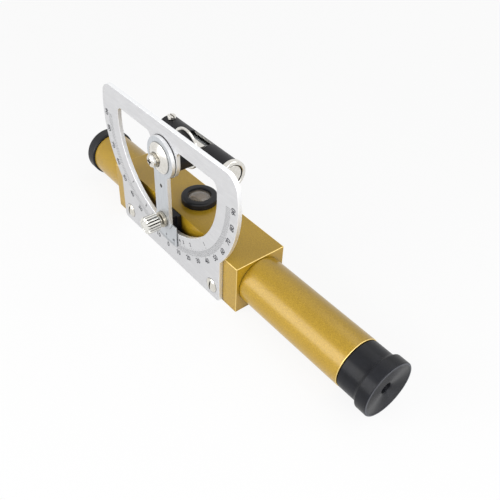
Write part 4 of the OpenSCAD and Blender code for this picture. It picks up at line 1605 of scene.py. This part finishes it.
@dataclass
class VialCarriage(Assembly):
    """The saddle, the vial's holder, the vial itself and its adjusting screw."""

    edge: float = 0.15
    holder_r: float = 6.2
    holder_bore: float = 5.2
    far_round: float = 0.4
    near_round: float = 0.1
    window_half_len: float = 7.0
    window_half_w: float = 3.0
    ring_r: float = 6.6
    ring_back: float = 0.35
    ring_front: float = 0.5
    plug_r: float = 4.5
    plug_gap: float = 0.4
    shank_r: float = 3.5
    flange_r: float = 9.1
    flange_t: float = 1.5
    flange_back: float = 0.6
    flange_front: float = 0.5
    axle_hole: float = 3.02
    saddle_half_w: float = 7.5
    saddle_drop: float = 1.3
    saddle_rise: float = 6.8
    saddle_reach: float = 40.0
    vial_r: float = 4.4
    vial_wall: float = 0.6
    bubble_half_len: float = 4.5
    bubble_half_w: float = 1.7
    stem_r: float = 1.0
    stem_hole: float = 1.05
    stem_round: float = 0.1
    head_lift: float = 0.05
    head_back: float = 0.1
    head_front: float = 0.3
    slot_w: float = 0.8
    slot_depth: float = 0.6

    def build(self) -> None:
        """Models the carriage from the saddle outwards."""
        self.saddle()
        self.holder()
        self.end_ring()
        self.vial()
        self.adjusting_screw()
        carry(self.look.black, "vial_far_plug")
        carry(self.look.cork, "vial_seat")
        carry(self.look.plated, "vial_sleeve")

    def saddle(self) -> None:
        """Joins a flange and a block, and beds the holder in them."""
        low, high = node_box("vial_saddle")
        back = low.y + self.flange_t
        flange = stair(-back, 0, (self.flange_r, self.flange_back), (-low.y, self.flange_front), 0)
        saddle = Bench.turned("vial_saddle_milled", flange, PIVOT_LINE)
        block = Bench.bar(
            "saddle_block",
            (-self.saddle_half_w, back - self.flange_t / 2, VIAL_Z - self.saddle_drop),
            (self.saddle_half_w, high.y, VIAL_Z + self.saddle_rise),
        )
        Bench.cut(saddle, block, join=True)
        reach = self.saddle_reach
        Bench.cut(
            saddle,
            Bench.rod("holder_cutter", VIAL_LINE, self.holder_r + GAP, -reach, reach),
            Bench.drill("axle_cutter", PIVOT_LINE, self.axle_hole, low.y, high.y),
        )
        Bench.ease(saddle, self.edge)
        dress(saddle, self.look.bright, Body.INDEX, Slot.BRIGHT, "vial_saddle")

    def screw_line(self) -> Line:
        """The adjusting screw's axis."""
        low, high = node_box("adjusting_screw")
        return Line(((low.x + high.x) / 2, VIAL_Y, 0), Way.UP)

    def holder(self) -> None:
        """Turns the holder and opens its two windows and its screw hole."""
        low, high = node_box("vial_holder")
        outside = ((self.holder_r, self.far_round), (high.x, self.near_round))
        tube = stair(low.x, self.holder_bore, *outside, self.holder_bore)
        holder = Bench.turned("vial_holder_turned", tube, VIAL_LINE)
        window = Bench.bar(
            "window_cutter",
            (-self.window_half_len, VIAL_Y - self.window_half_w, low.z - PAST),
            (self.window_half_len, VIAL_Y + self.window_half_w, high.z + PAST),
        )
        head = node_box("adjusting_screw")[1].z
        stem = Bench.rod("stem_cutter", self.screw_line(), self.stem_hole, VIAL_Z, head, Facets.STEM)
        Bench.cut(holder, window, stem)
        Bench.ease(holder, self.edge)

        def on_window(face: Face) -> bool:
            """Whether a face is a long side of a window, which is lined white; the white also stands in for
            a highlight along the glass.
            """
            return abs(abs(face.center.y / MM - VIAL_Y) - self.window_half_w) < TINY

        Bench.trim(holder, (self.look.black, self.look.lining), on_window)
        dress(holder, self.look.black, Body.INDEX, Slot.BLACK, "vial_holder")

    def end_ring(self) -> None:
        """Turns the bright ring and the plug set back inside it."""
        low, high = node_box("vial_end_ring")
        start = node_box("vial_holder")[1].x
        floor, mouth = (start + high.x) / 2, self.plug_r + self.plug_gap
        spigot, shank = self.holder_bore - GAP, self.shank_r - GAP
        outside = (spigot, start, (self.ring_r, self.ring_back), (high.x, self.ring_front))
        profile = stair(low.x, self.shank_r, *outside, (mouth, self.ring_back), floor, self.shank_r)
        piece = Bench.turned("vial_end_ring_turned", profile, VIAL_LINE)
        dress(piece, self.look.bright, Body.INDEX, Slot.BRIGHT, "vial_end_ring", smooth=Smooth.SMALL)
        low, high = node_box("vial_end_plug")
        outside = ((self.plug_r, self.head_back), (high.x, self.head_front))
        profile = stair(low.x, 0, shank, floor, *outside, 0)
        piece = Bench.turned("vial_end_plug_turned", profile, VIAL_LINE)
        dress(piece, self.look.bright, Body.INDEX, Slot.BRIGHT, "vial_end_plug", smooth=Smooth.SMALL)

    def vial(self) -> None:
        """Blows the glass vial, and fills it with spirit round a bubble."""
        end = node_box("vial_glass")[1].x
        inner_end, inner_r = end - self.vial_wall, self.vial_r - self.vial_wall
        glass = Bench.turned("vial_glass_blown", capsule(end, self.vial_r), VIAL_LINE)
        Bench.cut(glass, Bench.turned("vial_hollow", capsule(inner_end, inner_r), VIAL_LINE))
        dress(glass, self.look.vial, Body.VIAL, Slot.GLASS, "vial_glass", smooth=Smooth.SOFT)
        fill_r = inner_r - GAP
        spirit = Bench.turned("vial_spirit_fill", capsule(inner_end - GAP, fill_r), VIAL_LINE)
        bubble = capsule(self.bubble_half_len, self.bubble_half_w)
        top = Line((0, VIAL_Y, VIAL_Z + fill_r), Way.EYE)
        Bench.cut(spirit, Bench.turned("bubble_cutter", bubble, top, Facets.STEM))
        dress(spirit, self.look.spirit, Body.VIAL, Slot.SPIRIT, "vial_spirit", smooth=Smooth.SOFT)

    def adjusting_screw(self) -> None:
        """Turns the adjusting screw's cheese head and saws its slot."""
        low, high = node_box("adjusting_screw")
        seat = VIAL_Z + self.holder_r + self.head_lift
        outside = (((high.x - low.x) / 2, self.head_back), (high.z, self.head_front))
        profile = stair(low.z, 0, (self.stem_r, self.stem_round), seat, *outside, 0)
        screw = Bench.turned("adjusting_screw_turned", profile, self.screw_line(), Facets.STEM)
        slot = Bench.bar(
            "slot_cutter",
            (low.x - PAST, VIAL_Y - self.slot_w / 2, high.z - self.slot_depth),
            (high.x + PAST, VIAL_Y + self.slot_w / 2, high.z + PAST),
        )
        Bench.cut(screw, slot)
        dress(screw, self.look.bright, Body.ADJUSTER, Slot.BRIGHT, "adjusting_screw", smooth=Smooth.SMALL)


@dataclass(frozen=True)
class Lamp:
    """A soft square lamp: its name, its place and side in millimetres and its power in watts."""

    name: str
    at: Place
    size: float
    power: float

    def hang(self, target: Place) -> None:
        """Hangs the lamp so that it looks at a target."""
        Bench.clear()
        bpy.ops.object.light_add(type="AREA", location=Vector(self.at) * MM)
        lamp = bpy.context.object
        lamp.name = f"lamp_{self.name}"
        lamp.data.size = self.size * MM
        lamp.data.energy = self.power
        aim = Vector(target) * MM - lamp.location
        lamp.rotation_euler = aim.to_track_quat("-Z", "Y").to_euler()


@dataclass
class Studio:
    """The white floor, the soft lights and the camera of the photograph."""

    camera_at: Place = (190.98, -130.59, 193.31)
    azimuth: float = 49.062
    elevation: float = 40.434
    roll: float = 2.982
    lens: float = 45.363
    sensor: float = 36.0
    floor_half: float = 3000.0
    floor_z: float = -0.3
    floor_tone: float = 0.9
    near_white: float = 0.88
    fade: Pair = (0.2, 1.0)
    sky: float = 0.3
    white: float = 1.0
    target: Place = (20, 0, 25)
    lamps: tuple[Lamp, ...] = (
        Lamp("key", (-120, -500, 210), 400, 2.0),
        Lamp("fill", (480, -60, 220), 300, 1.1),
        Lamp("top", (20, 240, 520), 360, 0.5),
        Lamp("kick", (240, -240, 150), 140, 0.2),
        Lamp("rim", (420, 380, 300), 160, 0.35),
    )

    def build(self) -> None:
        """Sets up the view, the floor, the sky and the lamps."""
        bpy.context.scene.view_settings.view_transform = "Standard"
        self.camera()
        self.floor()
        self.world()
        for lamp in self.lamps:
            lamp.hang(self.target)

    def camera(self) -> None:
        """Stands the camera where the photograph was taken from."""
        turn, tilt = math.radians(self.azimuth), math.radians(self.elevation)
        look = Vector((-math.sin(turn) * math.cos(tilt), math.cos(turn) * math.cos(tilt), -math.sin(tilt)))
        Bench.clear()
        bpy.ops.object.camera_add()
        camera = bpy.context.object
        camera.name = "camera"
        upright = look.to_track_quat("-Z", "Y").to_matrix().to_4x4()
        level = Matrix.Rotation(math.radians(self.roll), 4, "Z")
        camera.matrix_world = Matrix.Translation(Vector(self.camera_at) * MM) @ upright @ level
        camera.data.lens = self.lens
        camera.data.sensor_width = self.sensor
        camera.data.clip_start = MM
        bpy.context.scene.camera = camera

    def floor(self) -> None:
        """Lays a wide white floor that keeps the object's soft shadow and fades into the sky."""
        Bench.clear()
        bpy.ops.mesh.primitive_plane_add(size=2 * self.floor_half * MM, location=(0, 0, self.floor_z * MM))
        floor = Bench.named("floor")
        board = NodeBoard.started("white_floor")
        material = board.shade(Base_Color=(*[self.floor_tone] * 3, 1), Roughness=self.floor_tone)
        glow = board.node("Emission", {"Strength": self.white}).outputs["Emission"]
        far = board.node("VectorMath", {0: board.place}, operation="LENGTH").outputs["Value"]
        share = board.sum_up("MULTIPLY", board.seen(), board.span(far, self.near_white, 1.0, *self.fade))
        plain = board.tree.nodes["Principled BSDF"].outputs["BSDF"]
        mix = board.node("MixShader", {"Fac": share, 1: plain, 2: glow}).outputs["Shader"]
        board.fill(board.tree.nodes["Material Output"], {"Surface": mix})
        floor.data.materials.append(material)

    def world(self) -> None:
        """Makes a white sky that lights softly and shows white behind the object."""
        bpy.context.scene.world = bpy.data.worlds.new("studio_sky")
        board = NodeBoard(bpy.context.scene.world)
        strength = board.span(board.seen(), self.sky, self.white, 0.0, 1.0)
        board.fill(board.tree.nodes["Background"], {"Color": (1, 1, 1, 1), "Strength": strength})


def main() -> None:
    """Builds every sub-assembly in order."""
    logging.basicConfig(level=logging.INFO, format="%(name)s: %(message)s")
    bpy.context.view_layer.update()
    look = Wardrobe()
    for assembly in (SightTube, TubeEnds, BubbleLens, ArcPlate, IndexArm, Clamp, VialCarriage):
        assembly(look).build()
    Studio().build()


if __name__ == "__main__":
    main()
